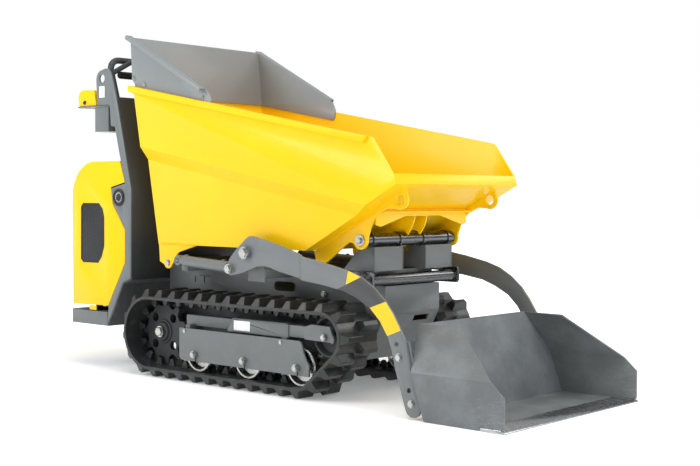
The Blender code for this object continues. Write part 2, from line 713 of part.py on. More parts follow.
def skip_body():
    skip = skip_shell()
    inside = 0.002
    for s in (1, -1):
        rim = [(SKIP_RIM_REAR[0] - 0.019, rim_z(SKIP_RIM_REAR[0] - 0.019) + 0.0005),
               (0.505, rim_z(0.505) + 0.0005), (0.490, rim_z(0.490) - RIM_TALL),
               (SKIP_RIM_REAR[0] - 0.019, rim_z(SKIP_RIM_REAR[0] - 0.019) - RIM_TALL)]
        skip = combine(skip, prism("Y", s * (SKIP_HALF - inside), s * (SKIP_HALF + RIM_OUT), rim))
        outline, eye, bore = ear_outline()
        skip = combine(skip, prism("Y", s * EAR_INNER, s * (EAR_INNER + EAR_THICK),
                                   outline, eye, bore))
        rest = [(-0.551, SKIP_FLOOR_Z + inside), (-0.546, 0.430)]
        rest += arc((-0.500, 0.4265), 0.022, 200, 330, 5)
        rest += [(-0.452, 0.456), (-0.440, 0.468), (-0.352, 0.491), (-0.340, SKIP_FLOOR_Z + inside)]
        skip = combine(skip, prism("Y", s * (SKIP_LOW_HALF - 0.0075), s * (SKIP_LOW_HALF - 0.0005),
                                   rest))
        lug = [(0.180, SKIP_FLOOR_Z + inside), (0.180, 0.480)]
        lug += arc(TIP_LUG, 0.022, 180, 320, 5)
        lug += [(0.300, 0.520), (0.352, 0.550)]
        lug += arc((HINGE_X, HINGE_Z), 0.030, 165, 30, 5)
        lug += [(0.446, 0.575), (0.458, 0.606), (0.455, front_z(0.455) + inside),
                (SKIP_FLOOR_FRONT + 0.004, front_z(SKIP_FLOOR_FRONT + 0.004) + inside)]
        skip = combine(skip, prism("Y", s * TIP_LUG_IN, s * (TIP_LUG_IN + TIP_LUG_THICK), lug,
                                   ring(TIP_LUG, 0.010, 12)))
    back = prism("Y", -SKIP_HALF - RIM_OUT, SKIP_HALF + RIM_OUT,
                 [(SKIP_RIM_REAR[0] - 0.019, rim_z(SKIP_RIM_REAR[0] - 0.019)),
                  (SKIP_RIM_REAR[0] - 0.019, rim_z(SKIP_RIM_REAR[0] - 0.019) - RIM_TALL),
                  (SKIP_RIM_REAR[0] + 0.007, rim_z(SKIP_RIM_REAR[0]) - RIM_TALL - 0.004),
                  (SKIP_RIM_REAR[0] + 0.003, rim_z(SKIP_RIM_REAR[0]) - 0.001)])
    skip = combine(skip, back)
    shelf = [(-EAR_INNER - inside, 0.640), (-EAR_INNER - inside, 0.586), (-0.225, 0.580),
             (-0.095, 0.614), (0.095, 0.614), (0.225, 0.580), (EAR_INNER + inside, 0.586),
             (EAR_INNER + inside, 0.640)]
    skip = combine(skip, prism("X", 0.462, 0.468, shelf))
    skip = combine(skip, block(0.462, 0.486, -EAR_INNER - inside, EAR_INNER + inside, 0.624, 0.630))
    finish("skip_body", skip, YELLOW, (HINGE_X, 0, HINGE_Z))


def skip_extension():
    """Raised back with two triangular sides, bolted inside the rim of the skip."""
    outer = SKIP_HALF - SKIP_WALL - GAP
    w = EXT_WALL
    rear = SKIP_RIM_REAR[0] + 0.010
    low = 0.034
    top_rear = (rear - 0.030, rim_z(rear) + EXT_TALL)
    front = rear + EXT_LONG

    def rim(x, up):
        return (x, rim_z(x) + up)

    side = [rim(rear + 0.006, -low), rim(front - 0.010, -low), rim(front, -low + 0.012),
            rim(front + 0.004, 0.010), rim(front - 0.008, 0.034), rim(front - 0.030, 0.046),
            (top_rear[0], top_rear[1]), (rear - 0.020, rim_z(rear) + 0.030), rim(rear + 0.002, 0.003)]
    ext = None
    for s in (1, -1):
        plate = prism("Y", s * (outer - w), s * outer, side)
        out, lip = outer + EXT_FLANGE, 0.014
        fold = [(outer - w / 2, 0.001), (out, 0.001), (out, -lip), (out - w, -lip),
                (out - w, 0.001 - w), (outer - w / 2, 0.001 - w)]
        flange = profile_bar((top_rear[0] + 0.004, top_rear[1] - 0.002), side[5],
                             [(s * u, v) for u, v in fold])
        plate = combine(plate, flange)
        ext = plate if ext is None else combine(ext, plate)
    back = [(rear + 0.0075, rim_z(rear) - low + 0.001), (rear + 0.0075 + w, rim_z(rear) - low + 0.001),
            (top_rear[0] + 0.012 + w, top_rear[1] - 0.012), (top_rear[0] + 0.012, top_rear[1] - 0.008)]
    ext = combine(ext, prism("Y", -outer + w / 2, outer - w / 2, back))
    finish("skip_extension", ext, GREY, (HINGE_X, 0, HINGE_Z))


# ---------------------------------------------------------------- loader
BEND_X = (0.232, 0.262)     # where the arm steps outwards
ROOT_UPPER = [(0.154, 0.509), (0.056, 0.531), (0.006, 0.5405), (-0.009, 0.539), (-0.022, 0.532),
              (-0.075, 0.490)]
ROOT_LOWER = [(-0.040, 0.411), (-0.005, 0.424), (0.030, 0.436), (0.064, 0.439), (0.098, 0.434),
              (0.131, 0.425), (0.193, 0.413)]
BEND_UPPER = ((0.232, 0.4855), (0.262, 0.4795))
BEND_LOWER = ((0.232, 0.4060), (0.262, 0.4020))
FRONT_LOWER = [(0.360, 0.3915), (0.450, 0.377), (0.505, 0.357), (0.560, 0.329), (0.600, 0.292),
               (0.631, 0.247), (0.650, 0.200), (0.663, 0.146), (0.702, 0.034)]
FRONT_UPPER = [(0.764, 0.034), (0.723, 0.150), (0.702, 0.235), (0.674, 0.282), (0.650, 0.319),
               (0.618, 0.357), (0.572, 0.395), (0.519, 0.425), (0.463, 0.443), (0.366, 0.463)]
ARM_HOLES = ((0.668, 0.226), (0.717, 0.088))


def arm_step(x):
    """How far across the arm stands at x."""
    share = min(max((x - BEND_X[0]) / (BEND_X[1] - BEND_X[0]), 0), 1)
    return ARM_ROOT_IN + (ARM_FRONT_IN - ARM_ROOT_IN) * share


def loader_arm(side, s):
    """Flat plate with one joggle, from the pivot down to the shovel."""
    root = ([BEND_UPPER[0], *ROOT_UPPER, (-0.105, 0.460)]
            + arc(ARM_LUG, 0.024, 170, 290, 5) + ROOT_LOWER + [BEND_LOWER[0]])
    step = [BEND_UPPER[0], BEND_LOWER[0], BEND_LOWER[1], BEND_UPPER[1]]
    foot = arc((0.733, 0.036), 0.031, 190, 350, 5)
    front = [BEND_LOWER[1], *FRONT_LOWER[:-1], *foot, *FRONT_UPPER[1:], BEND_UPPER[1]]
    bm = bmesh.new()
    flat_faces(bm, "Y", 0, [root, ring(ARM_PIVOT, PIVOT_PIN_R + RUN_GAP, 20)])
    flat_faces(bm, "Y", 0, [step])
    flat_faces(bm, "Y", 0, [front, *[ring(hole, 0.008, 10) for hole in ARM_HOLES]])
    bmesh.ops.remove_doubles(bm, verts=bm.verts, dist=1e-5)
    far = bmesh.ops.extrude_face_region(bm, geom=bm.faces[:])["geom"]
    bmesh.ops.translate(bm, vec=(0, ARM_THICK, 0),
                        verts=[g for g in far if isinstance(g, bmesh.types.BMVert)])
    for vert in bm.verts:
        vert.co.y = s * (vert.co.y + arm_step(vert.co.x))
    arm = scratch_object(bm)
    outside = ARM_ROOT_IN + ARM_THICK
    arm = combine(arm, rod((ARM_LUG[0], s * (outside - 0.003), ARM_LUG[1]),
                           (ARM_LUG[0], s * (outside + 0.012), ARM_LUG[1]), 0.015, 6))
    outside = ARM_FRONT_IN + ARM_THICK
    for x, z in ((0.677, 0.186), (0.728, 0.048)):
        arm = combine(arm, rod((x, s * (outside - 0.003), z), (x, s * (outside + 0.006), z),
                               0.012, 6))
    finish(f"loader_arm_{side}", arm, GREY, (ARM_PIVOT[0], 0, ARM_PIVOT[1]))


def loader_pivot(side, s):
    """Outrigger from the tub with the plate and pin that carry the loader arm."""
    outrigger = block(-0.062, 0.024, s * (TUB_HALF + GAP), s * 0.312, 0.392, 0.424)
    plate = [(-0.062, 0.380), (0.024, 0.380)] + arc(ARM_PIVOT, 0.032, -10, 190, 7)
    outrigger = combine(outrigger, prism("Y", s * 0.3075, s * 0.3140, plate))
    pin = turned([(0, 0), (PIVOT_PIN_R + 0.010, 0), (PIVOT_PIN_R + 0.010, 0.0115), (PIVOT_PIN_R, 0.0115),
                  (PIVOT_PIN_R, 0.057), (0, 0.057)],
                 (ARM_PIVOT[0], s * 0.310, ARM_PIVOT[1]), (0, s, 0), 20)
    outrigger = combine(outrigger, pin)
    outside = ARM_ROOT_IN + ARM_THICK + GAP
    nut = turned([(0, 0), (0.021, 0), (0.021, 0.013), (0, 0.013)],
                 (ARM_PIVOT[0], s * outside, ARM_PIVOT[1]), (0, s, 0), 6)
    finish(f"loader_pivot_{side}", combine(outrigger, nut), GREY, smooth=False)


def back_x(z):
    """The shovel's leaning back plate, outside."""
    return SHOVEL_REAR - 0.3504 * z


def shovel():
    half, top, bend = SHOVEL_HALF, SHOVEL_TOP_HALF, SHOVEL_BEND
    nose = SHOVEL_FRONT - 0.0035
    section = [((SHOVEL_REAR, 0), half), ((nose, 0), half), ((nose, 0.103), half),
               ((1.0225, bend), half), ((back_x(bend), bend), half),
               ((0.8395, SHOVEL_TALL), top), ((back_x(SHOVEL_TALL), SHOVEL_TALL), top)]
    vertices = [(x, s * y, z) for s in (-1, 1) for (x, z), y in section]
    n = len(section)
    right = [(0, 4, 3, 2, 1), (4, 6, 5, 3)]
    left = [tuple(n + i for i in reversed(face)) for face in right]
    across = [(0, 1, 1 + n, n), (0, n, 4 + n, 6 + n, 6, 4)]
    body = shell(vertices, right + left + across, SHOVEL_WALL)
    edge_room = SHOVEL_FRONT - EDGE_DEEP - GAP
    body = cut(body, block(edge_room, SHOVEL_FRONT + 0.01, -half - 0.01, half + 0.01,
                           -0.01, EDGE_THICK + GAP))
    outside = ARM_FRONT_IN - GAP
    for s in (1, -1):
        ear = [(back_x(0.020) + 0.003, 0.020), (0.706, 0.022), (0.668, 0.150), (0.684, 0.232),
               (0.706, 0.236), (back_x(0.165) + 0.003, 0.165)]
        body = combine(body, prism("Y", s * (outside - 0.008), s * outside, ear))
    for y in (-0.13, 0.13):
        rib = [(back_x(0.02) + 0.003, 0.020), (back_x(0.02) - 0.022, 0.034),
               (back_x(0.25) - 0.016, 0.240), (back_x(0.26) + 0.003, 0.262)]
        body = combine(body, prism("Y", y - 0.004, y + 0.004, rib))
    finish("shovel", body, GREY, (ARM_PIVOT[0], 0, ARM_PIVOT[1]))


def cutting_edge():
    rear = SHOVEL_FRONT - EDGE_DEEP
    outline = [(rear, 0), (SHOVEL_FRONT, 0), (SHOVEL_FRONT, 0.003), (SHOVEL_FRONT - 0.014, EDGE_THICK),
               (rear, EDGE_THICK)]
    bar = prism("Y", -EDGE_HALF, EDGE_HALF, outline)
    finish("cutting_edge", bar, STEEL, (ARM_PIVOT[0], 0, ARM_PIVOT[1]))


# ---------------------------------------------------------------- hydraulic cylinders
def cylinder(names, anchor, end, y, barrel_r, rod_r, barrel_long, eye_half):
    """Barrel and rod between two pivots in a plane across the machine."""
    start = Vector((anchor[0], y, anchor[1]))
    tip = Vector((end[0], y, end[1]))
    along = (tip - start).normalized()
    eye_r = barrel_r * 0.92

    def eye(centre):
        c = (centre.x, centre.z)
        return prism("Y", y - eye_half, y + eye_half, ring(c, eye_r, 14), ring(c, eye_r * 0.5, 10))

    bore = rod_r + RUN_GAP
    base = eye_r * 1.5
    profile = [(0, eye_r * 0.8), (barrel_r * 0.8, eye_r * 0.8), (barrel_r, eye_r * 1.3),
               (barrel_r, barrel_long), (bore, barrel_long), (bore, base), (0, base)]
    barrel = combine(turned(profile, start, along, 16), eye(start))
    finish(names[0], barrel, GREY, start, True)
    shaft = rod(start + along * (base + 0.002), tip - along * (eye_r * 0.7), rod_r, 12)
    finish(names[1], combine(shaft, eye(tip)), STEEL, tip, True)


# ---------------------------------------------------------------- rear frame
FRONT_LINE = [(-0.8255, 0.166), (-0.7305, 0.336), (-0.684, 0.353), (-0.680, 0.694),
              (-0.7655, 1.031), (-0.770, 1.050)]
REAR_LINE = [(-0.818, 1.027), (-0.810, 0.944), (-0.786, 0.941), (-0.762, 0.850), (-0.723, 0.722),
             (-0.809, 0.703), (-0.797, 0.644), (-0.723, 0.547), (-0.723, 0.415), (-0.825, 0.246)]
EXHAUST = (-0.760, 0.668)
LIFT_EYE = (-0.866, 1.130)


def shifted(line, du, dv):
    return [(u + du, v + dv) for u, v in line]


def firewall():
    """Folded sheet between the skip and the engine, full width."""
    back = shifted(FRONT_LINE, -0.006, SHEET)
    sheet = prism("Y", -REAR_HALF, REAR_HALF, FRONT_LINE + back[::-1])
    finish("firewall", sheet, DARK)


def rear_plate(side, s):
    """Side plate of the rear frame, with the lifting eye at its top."""
    front = shifted(FRONT_LINE[:-1], -0.0066, SHEET + 0.0005)
    top = [(-0.7885, 1.085), (-0.812, 1.150), (-0.826, 1.166), (-0.845, 1.168)]
    eye = arc((-0.862, 1.125), 0.040, 120, 185, 4) + [(-0.894, 1.029)]
    outline = front + top + eye + REAR_LINE
    plate = prism("Y", s * (REAR_HALF - PLATE), s * REAR_HALF, outline,
                  ring(LIFT_EYE, 0.0165, 14), ring(EXHAUST, 0.027, 18))
    finish(f"rear_plate_{side}", plate, GREY)


def rear_bumper():
    """U-shaped bumper with the engine deck inside it."""
    low, high = BUMPER_LOW, BUMPER_LOW + BUMPER_TALL
    front = FRONT_LINE[0][0] - 0.0069
    outer = [(front, REAR_HALF), (BUMPER_REAR + 0.016, REAR_HALF), (BUMPER_REAR, REAR_HALF - 0.016),
             (BUMPER_REAR, -REAR_HALF + 0.016), (BUMPER_REAR + 0.016, -REAR_HALF), (front, -REAR_HALF)]
    inner = [(front, -REAR_HALF + 0.050), (BUMPER_REAR + 0.050, -REAR_HALF + 0.050),
             (BUMPER_REAR + 0.050, REAR_HALF - 0.050), (front, REAR_HALF - 0.050)]
    bumper = prism("Z", low, high, outer + inner)
    deck_front = FRONT_LINE[0][0] + 0.005
    deck = block(BUMPER_REAR + 0.040, deck_front, -REAR_HALF + 0.040, REAR_HALF - 0.040,
                 high - 0.022, high - 0.014)
    bumper = combine(bumper, deck)
    for s in (1, -1):
        tab = block(HOOD_PIVOT[0] + 0.0025, HOOD_PIVOT[0] + 0.014, s * 0.200, s * 0.230,
                    high - 0.004, HOOD_PIVOT[1] + 0.016)
        bumper = combine(bumper, tab)
    finish("rear_bumper", bumper, GREY)


def hood_side():
    """Outline of the hood's side, clear of the rear plate."""
    gap = HOOD_GAP
    corner = 0.140
    centre = (HOOD_REAR + corner, HOOD_TOP - corner)
    outline = [(HOOD_REAR + 0.003, 0.240), (HOOD_REAR, 0.600)]
    outline += arc(centre, corner, 180, 90, 8)[1:]
    outline += [(-0.753 - gap, HOOD_TOP), (-0.7235 - gap, 0.7265), (-0.809 - gap, 0.7075),
                (-0.797 - gap * 1.3, 0.6425), (-0.723 - gap, 0.5455), (-0.723 - gap, 0.4165),
                (-0.825 - gap * 1.2, 0.2465)]
    return outline


GRILLE = [(-1.000, 0.630), (-0.988, 0.643), (-0.888, 0.643), (-0.866, 0.622), (-0.856, 0.590),
          (-0.856, 0.478), (-0.872, 0.436), (-0.893, 0.412), (-0.988, 0.411), (-1.001, 0.424)]


def scaled(outline, inset):
    """An outline drawn in towards its middle by about the inset."""
    middle = sum((Vector(p) for p in outline), Vector((0, 0))) / len(outline)
    return [tuple(Vector(p) + (middle - Vector(p)).normalized() * inset) for p in outline]


def engine_hood():
    """Sheet cover over the engine, open underneath and towards the firewall."""
    outline = hood_side()
    hood = prism("Y", -HOOD_HALF, HOOD_HALF, outline)
    w = HOOD_WALL
    corner = 0.140 - w
    centre = (HOOD_REAR + w + corner, HOOD_TOP - w - corner)
    room = [(HOOD_REAR + w + 0.003, 0.200), (HOOD_REAR + w, 0.600)]
    room += arc(centre, corner, 180, 90, 8)[1:]
    room += [(-0.700, HOOD_TOP - w), (-0.680, 0.200)]
    hood = cut(hood, prism("Y", -HOOD_HALF + w, HOOD_HALF - w, room))
    reach = HOOD_HALF + 0.010
    hood = cut(hood, prism("Y", -reach, reach, GRILLE))
    for s in (1, -1):
        tab = block(HOOD_PIVOT[0] - 0.016, HOOD_PIVOT[0] + 0.002, s * 0.2005, s * 0.2295,
                    0.241, 0.262)
        hood = combine(hood, tab)
    finish("engine_hood", hood, YELLOW, (HOOD_PIVOT[0], 0, HOOD_PIVOT[1]))


def hood_grille(side, s):
    inner = HOOD_HALF - HOOD_WALL
    panel = prism("Y", s * (inner + 0.0005), s * (inner + 0.0030), scaled(GRILLE, 0.0009))
    finish(f"hood_grille_{side}", panel, DARK, (HOOD_PIVOT[0], 0, HOOD_PIVOT[1]))


DECK_TOP = BUMPER_LOW + BUMPER_TALL - 0.014 + GAP


def engine_block():
    """Crankcase, cylinder and head, fan cover and air cleaner of the engine."""
    engine = block(-0.990, -0.822, -0.090, 0.090, DECK_TOP, 0.400)
    engine = combine(engine, block(-0.950, -0.820, -0.070, 0.060, 0.395, 0.530))
    engine = combine(engine, turned([(0, 0), (0.120, 0), (0.120, 0.050), (0.105, 0.062), (0, 0.062)],
                                    (-0.885, -0.088, 0.350), (0, -1, 0), 24))
    engine = combine(engine, block(-0.970, -0.860, 0.030, 0.120, 0.520, 0.600))
    engine = combine(engine, rod((-0.915, -0.020, 0.520), (-0.915, -0.020, 0.560), 0.030, 12))
    finish("engine_block", engine, IRON)


def exhaust():
    """Silencer with its tail pipe through the right side plate."""
    can = rod((-0.960, -0.215, 0.668), (-0.800, -0.215, 0.668), 0.052, 20)
    pipe = bent_tube([(-0.810, -0.215, 0.668), (EXHAUST[0], -0.215, EXHAUST[1]),
                      (EXHAUST[0], -REAR_HALF + 0.001, EXHAUST[1])], 0.0200, 0.030)
    can = combine(can, pipe)
    foot = block(-0.900, -0.870, -0.220, -0.195, DECK_TOP, 0.640)
    finish("exhaust", combine(can, foot), DARK, smooth=True)


def hydraulic_tank():
    tank = block(-0.980, -0.822, 0.150, 0.274, DECK_TOP, 0.560)
    neck = turned([(0, 0), (0.026, 0), (0.026, 0.018), (0.032, 0.018), (0.032, 0.036), (0, 0.036)],
                  (-0.900, 0.212, 0.558), (0, 0, 1), 16)
    finish("hydraulic_tank", combine(tank, neck), DARK)


def hydraulic_pump():
    pump = turned([(0, 0), (0.045, 0), (0.045, 0.030), (0.034, 0.030), (0.034, 0.056), (0, 0.056)],
                  (-0.885, 0.0903, 0.300), (0, 1, 0), 16)
    finish("hydraulic_pump", pump, IRON, smooth=True)


# ---------------------------------------------------------------- controls
TRAY_HALF = 0.315


def console_box():
    """Control box behind the frame with the tray that carries the levers."""
    box = block(-0.929, -0.844, -TRAY_HALF, TRAY_HALF, 0.925, 1.0225)
    half = REAR_HALF - PLATE - GAP
    tray = block(-1.030, -0.800, -half, half, 1.0215, 1.0275)
    finish("console_box", combine(box, tray), GREY)


def console_cover():
    """Moulded yellow cover on the rear of the tray."""
    low = 1.0275 + GAP
    outline = [(-1.036, low + 0.004), (-1.038, 1.070), (-1.028, 1.086), (-1.012, 1.0925),
               (-0.936, 1.0895), (-0.922, low)]
    cover = prism("Y", -TRAY_HALF, TRAY_HALF, outline + [(-1.030, low)])
    cover = cut(cover, block(-1.050, -0.900, -0.262, 0.262, 1.058, 1.120))
    finish("console_cover", cover, YELLOW)


def handle_bar():
    """Bent tube across the machine with a lower guard bar in front of it."""
    y = REAR_HALF - PLATE - GAP - HANDLE_TUBE_R
    foot, top = (-0.7932, 1.0325), (-0.850, HANDLE_TOP)
    bar = bent_tube([(foot[0], -y, foot[1]), (top[0], -y, top[1]), (top[0], y, top[1]),
                     (foot[0], y, foot[1])], HANDLE_TUBE_R, 0.050)
    guard = bent_tube([(-0.8315, -y, 1.148), (-0.776, -y + 0.060, 1.198), (-0.776, y - 0.060, 1.198),
                       (-0.8315, y, 1.148)], HANDLE_TUBE_R * 0.8, 0.040)
    finish("handle_bar", combine(bar, guard), GREY, smooth=True)


LEVER_PIVOT = (-0.832, 1.045)


def drive_lever(side, s):
    """Travel lever of one track: a bent rod with a hand grip."""
    x, z = LEVER_PIVOT
    lever = bent_tube([(x, s * 0.190, z + 0.004), (x + 0.010, s * 0.190, 1.1445),
                       (x + 0.010, s * 0.276, 1.1445)], 0.0070, 0.022)
    grip = turned([(0, 0), (0.012, 0), (0.0145, 0.006), (0.0145, 0.066), (0.012, 0.072), (0, 0.072)],
                  (x + 0.010, s * 0.208, 1.1445), (0, s, 0), 14)
    lever = combine(lever, grip)
    lever = combine(lever, rod((x, s * 0.180, z), (x, s * 0.200, z), 0.012, 12))
    finish(f"drive_lever_{side}", lever, PLASTIC, (x, s * 0.190, z), True)


def valve_lever(name, y, tall):
    """Short lever with a ball knob, on a hub above the tray."""
    x, z = LEVER_PIVOT
    x -= 0.030
    lever = rod((x, y, z - 0.002), (x - 0.006, y, z + tall), 0.0045, 10)
    knob = turned([(0, -0.013), (0.009, -0.0095), (0.013, 0), (0.009, 0.0095), (0, 0.013)],
                  (x - 0.0065, y, z + tall), (0, 0, 1), 12)
    lever = combine(lever, knob)
    lever = combine(lever, rod((x, y - 0.011, z), (x, y + 0.011, z), 0.0105, 12))
    finish(name, lever, PLASTIC, (x, y, z), True)


# ---------------------------------------------------------------- build every piece
chassis_tub()
hinge_posts()
hinge_tube()
hinge_pin()
cross_tube()
firewall()
rear_bumper()
engine_hood()
engine_block()
exhaust()
hydraulic_tank()
hydraulic_pump()
console_box()
console_cover()
handle_bar()
valve_lever("skip_lever", -0.060, 0.085)
valve_lever("loader_lever", 0.010, 0.085)
valve_lever("throttle_lever", 0.090, 0.055)
skip_body()
skip_extension()
shovel()
cutting_edge()
cylinder(("tip_barrel", "tip_rod"), TIP_ANCHOR, TIP_LUG, 0.0, TIP_BARREL_R, TIP_ROD_R,
         TIP_BARREL_LONG, 0.014)
for side, s in SIDES:
    track_belt(side, s)
    sprocket(side, s)
    rollers(side, s)
    idler(side, s)
    track_frame(side, s)
    idler_fork(side, s)
    roller_guard(side, s)
    drive_motor(side, s)
    rear_plate(side, s)
    hood_grille(side, s)
    drive_lever(side, s)
    loader_arm(side, s)
    loader_pivot(side, s)
    cylinder((f"lift_barrel_{side}", f"lift_rod_{side}"), LIFT_ANCHOR, ARM_LUG, s * LIFT_Y,
             LIFT_BARREL_R, LIFT_ROD_R, LIFT_BARREL_LONG, 0.0155)
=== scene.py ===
"""Tracked power barrow with a tipping skip and a self-loading shovel: surfaces and details.

Metres, +Z up, +X forward, +Y to the machine's left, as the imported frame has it.
"""
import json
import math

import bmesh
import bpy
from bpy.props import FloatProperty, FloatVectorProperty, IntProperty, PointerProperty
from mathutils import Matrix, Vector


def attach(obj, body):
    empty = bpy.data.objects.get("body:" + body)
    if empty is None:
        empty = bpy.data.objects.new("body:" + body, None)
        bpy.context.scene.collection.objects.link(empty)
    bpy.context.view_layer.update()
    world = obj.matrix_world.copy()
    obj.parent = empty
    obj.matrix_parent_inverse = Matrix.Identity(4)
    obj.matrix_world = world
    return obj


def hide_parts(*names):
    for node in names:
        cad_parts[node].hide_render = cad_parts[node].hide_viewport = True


bl_info = {
    "name": "Tracked power barrow",
    "version": (1, 0, 0),
    "blender": (4, 5, 0),
    "location": "View3D > Sidebar > Barrow",
    "description": "Builds the paint, rubber, steel and fittings of a tracked power barrow",
    "category": "Object",
}

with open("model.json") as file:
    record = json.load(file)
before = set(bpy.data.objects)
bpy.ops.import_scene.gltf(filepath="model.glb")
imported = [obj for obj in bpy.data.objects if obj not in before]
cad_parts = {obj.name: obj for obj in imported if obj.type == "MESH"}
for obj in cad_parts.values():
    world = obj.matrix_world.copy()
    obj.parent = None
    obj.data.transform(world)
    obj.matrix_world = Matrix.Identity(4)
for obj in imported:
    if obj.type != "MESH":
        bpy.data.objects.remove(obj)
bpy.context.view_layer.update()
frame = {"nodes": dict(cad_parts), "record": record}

NODE_SLOT = {row["node"]: row["material_slot"] for row in frame["record"]["subparts"]}
NODE_BODY = {node: body for body, nodes in frame["record"]["behaviour"]["bodies"].items()
             for node in nodes}
SIDES = (("left", 1), ("right", -1))


def linear(code):
    """An sRGB hex colour as linear red, green and blue."""
    channels = [int(code[i:i + 2], 16) / 255 for i in (1, 3, 5)]
    return tuple(c / 12.92 if c <= 0.04045 else ((c + 0.055) / 1.055) ** 2.4 for c in channels)


# ---------------------------------------------------------------- what a user would change
def colour(name, description, code):
    return FloatVectorProperty(name=name, description=description, default=linear(code),
                               size=3, min=0, max=1, subtype="COLOR")


def length(name, description, metres):
    return FloatProperty(name=name, description=description, default=metres, min=0.0001,
                         unit="LENGTH", subtype="DISTANCE")


class BarrowColours(bpy.types.PropertyGroup):
    """Paint and rubber colours."""
    yellow: colour("Body yellow", "Enamel of the skip, hood and console cover", "#FBC900")
    grey: colour("Frame grey", "Powder coat of the chassis, arms and shovel", "#707577")
    # This dark grey is painted shade: its value copies the shade that falls on the firewall.
    dark: colour("Dark grey", "Powder coat of the rear frame", "#3A3D3F")
    stripe: colour("Stripe yellow", "Warning bands on the loader arms", "#FFC800")
    rubber: colour("Rubber", "Moulded rubber of the tracks", "#2B2C2D")
    plastic: colour("Plastic", "Grips, knobs and lever boots", "#161718")


class BarrowSizes(bpy.types.PropertyGroup):
    """Sizes of the edges, fasteners and welds."""
    plate_edge: length("Plate edge", "Rounding on cut plate edges", 0.0014)
    sheet_edge: length("Sheet edge", "Rounding on folded sheet edges", 0.0010)
    rubber_edge: length("Rubber edge", "Rounding on moulded rubber lugs", 0.0022)
    bolt_radius: length("Bolt head radius", "Half the width over the head's corners", 0.0095)
    bolt_height: length("Bolt head height", "How far a bolt head stands out", 0.0062)
    weld_bead: length("Weld bead", "Half the width of a weld bead", 0.0026)
    strand: length("Grille strand", "Half the thickness of a grille wire", 0.0011)
    segments: IntProperty(name="Segments", description="Facets round a turned part", default=64,
                          min=12, max=128)


def sizes():
    return bpy.context.scene.barrow_sizes


def colours():
    return bpy.context.scene.barrow_colours


# ---------------------------------------------------------------- material helpers
def add(tree, kind, inputs=None, **settings):
    """One node with its settings; an input given a socket is linked, any other is set."""
    node = tree.nodes.new(kind)
    for key, value in settings.items():
        setattr(node, key, value)
    for key, value in (inputs or {}).items():
        if isinstance(value, bpy.types.NodeSocket):
            tree.links.new(value, node.inputs[key])
        else:
            node.inputs[key].default_value = value
    return node


def start_material(name, **constants):
    """A new material, its tree and its shader, with the constants set on the shader's sockets."""
    mat = bpy.data.materials.new(name)
    mat.use_nodes = True
    shader = mat.node_tree.nodes["Principled BSDF"]
    for key, value in constants.items():
        shader.inputs[key.replace("_", " ")].default_value = value
    return mat, mat.node_tree, shader


def pattern(tree, scale, stretch=(1, 1, 1), detail=4.0, rough=0.5):
    """Noise over the surface; scale is in cycles per metre."""
    where = add(tree, "ShaderNodeTexCoord")
    spread = add(tree, "ShaderNodeMapping", {"Vector": where.outputs["Object"], "Scale": stretch})
    return add(tree, "ShaderNodeTexNoise", {"Vector": spread.outputs[0], "Scale": scale,
                                            "Detail": detail, "Roughness": rough}).outputs["Fac"]


def ramp(tree, value, low, high, first=0.0, last=1.0):
    """A smooth step of a value from one level to another."""
    return add(tree, "ShaderNodeMapRange", {"Value": value, "From Min": low, "From Max": high,
                                            "To Min": first, "To Max": last},
               interpolation_type="SMOOTHSTEP").outputs["Result"]


def maths(tree, operation, a, b):
    return add(tree, "ShaderNodeMath", {0: a, 1: b}, operation=operation).outputs[0]


def mixed(tree, share, first, second):
    """Colour between two colours or sockets."""
    node = add(tree, "ShaderNodeMix", data_type="RGBA")
    for key, value in ((0, share), (6, first), (7, second)):
        if isinstance(value, bpy.types.NodeSocket):
            tree.links.new(value, node.inputs[key])
        else:
            node.inputs[key].default_value = (*value, 1) if key else value
    return node.outputs[2]


def bump(tree, shader, height, depth):
    """Surface relief of a depth in metres."""
    relief = add(tree, "ShaderNodeBump", {"Height": height, "Distance": depth, "Strength": 1.0})
    tree.links.new(relief.outputs[0], shader.inputs["Normal"])


def position(tree):
    """The sockets X, Y and Z of the shaded point, in metres."""
    where = add(tree, "ShaderNodeTexCoord")
    return add(tree, "ShaderNodeSeparateXYZ", {"Vector": where.outputs["Object"]}).outputs


def times(tree, a, b):
    return maths(tree, "MULTIPLY", a, b)


def dress(tree, shader, tint, roughness, relief=None, depth=0.0):
    """Link the colour and the roughness to the shader, and the relief if there is one."""
    tree.links.new(tint, shader.inputs["Base Color"])
    tree.links.new(roughness, shader.inputs["Roughness"])
    if relief:
        bump(tree, shader, relief, depth)


def shade(tint, share):
    return tuple(c * share for c in tint)


DUST = linear("#9C9384")
DUST_TOP = 0.62                # road dust fades out at this height
ARM_FACE = 0.3825               # the bands lie on the arms' outer faces, past this |y|
PEEL = 420                      # orange peel, about 2.5 mm across


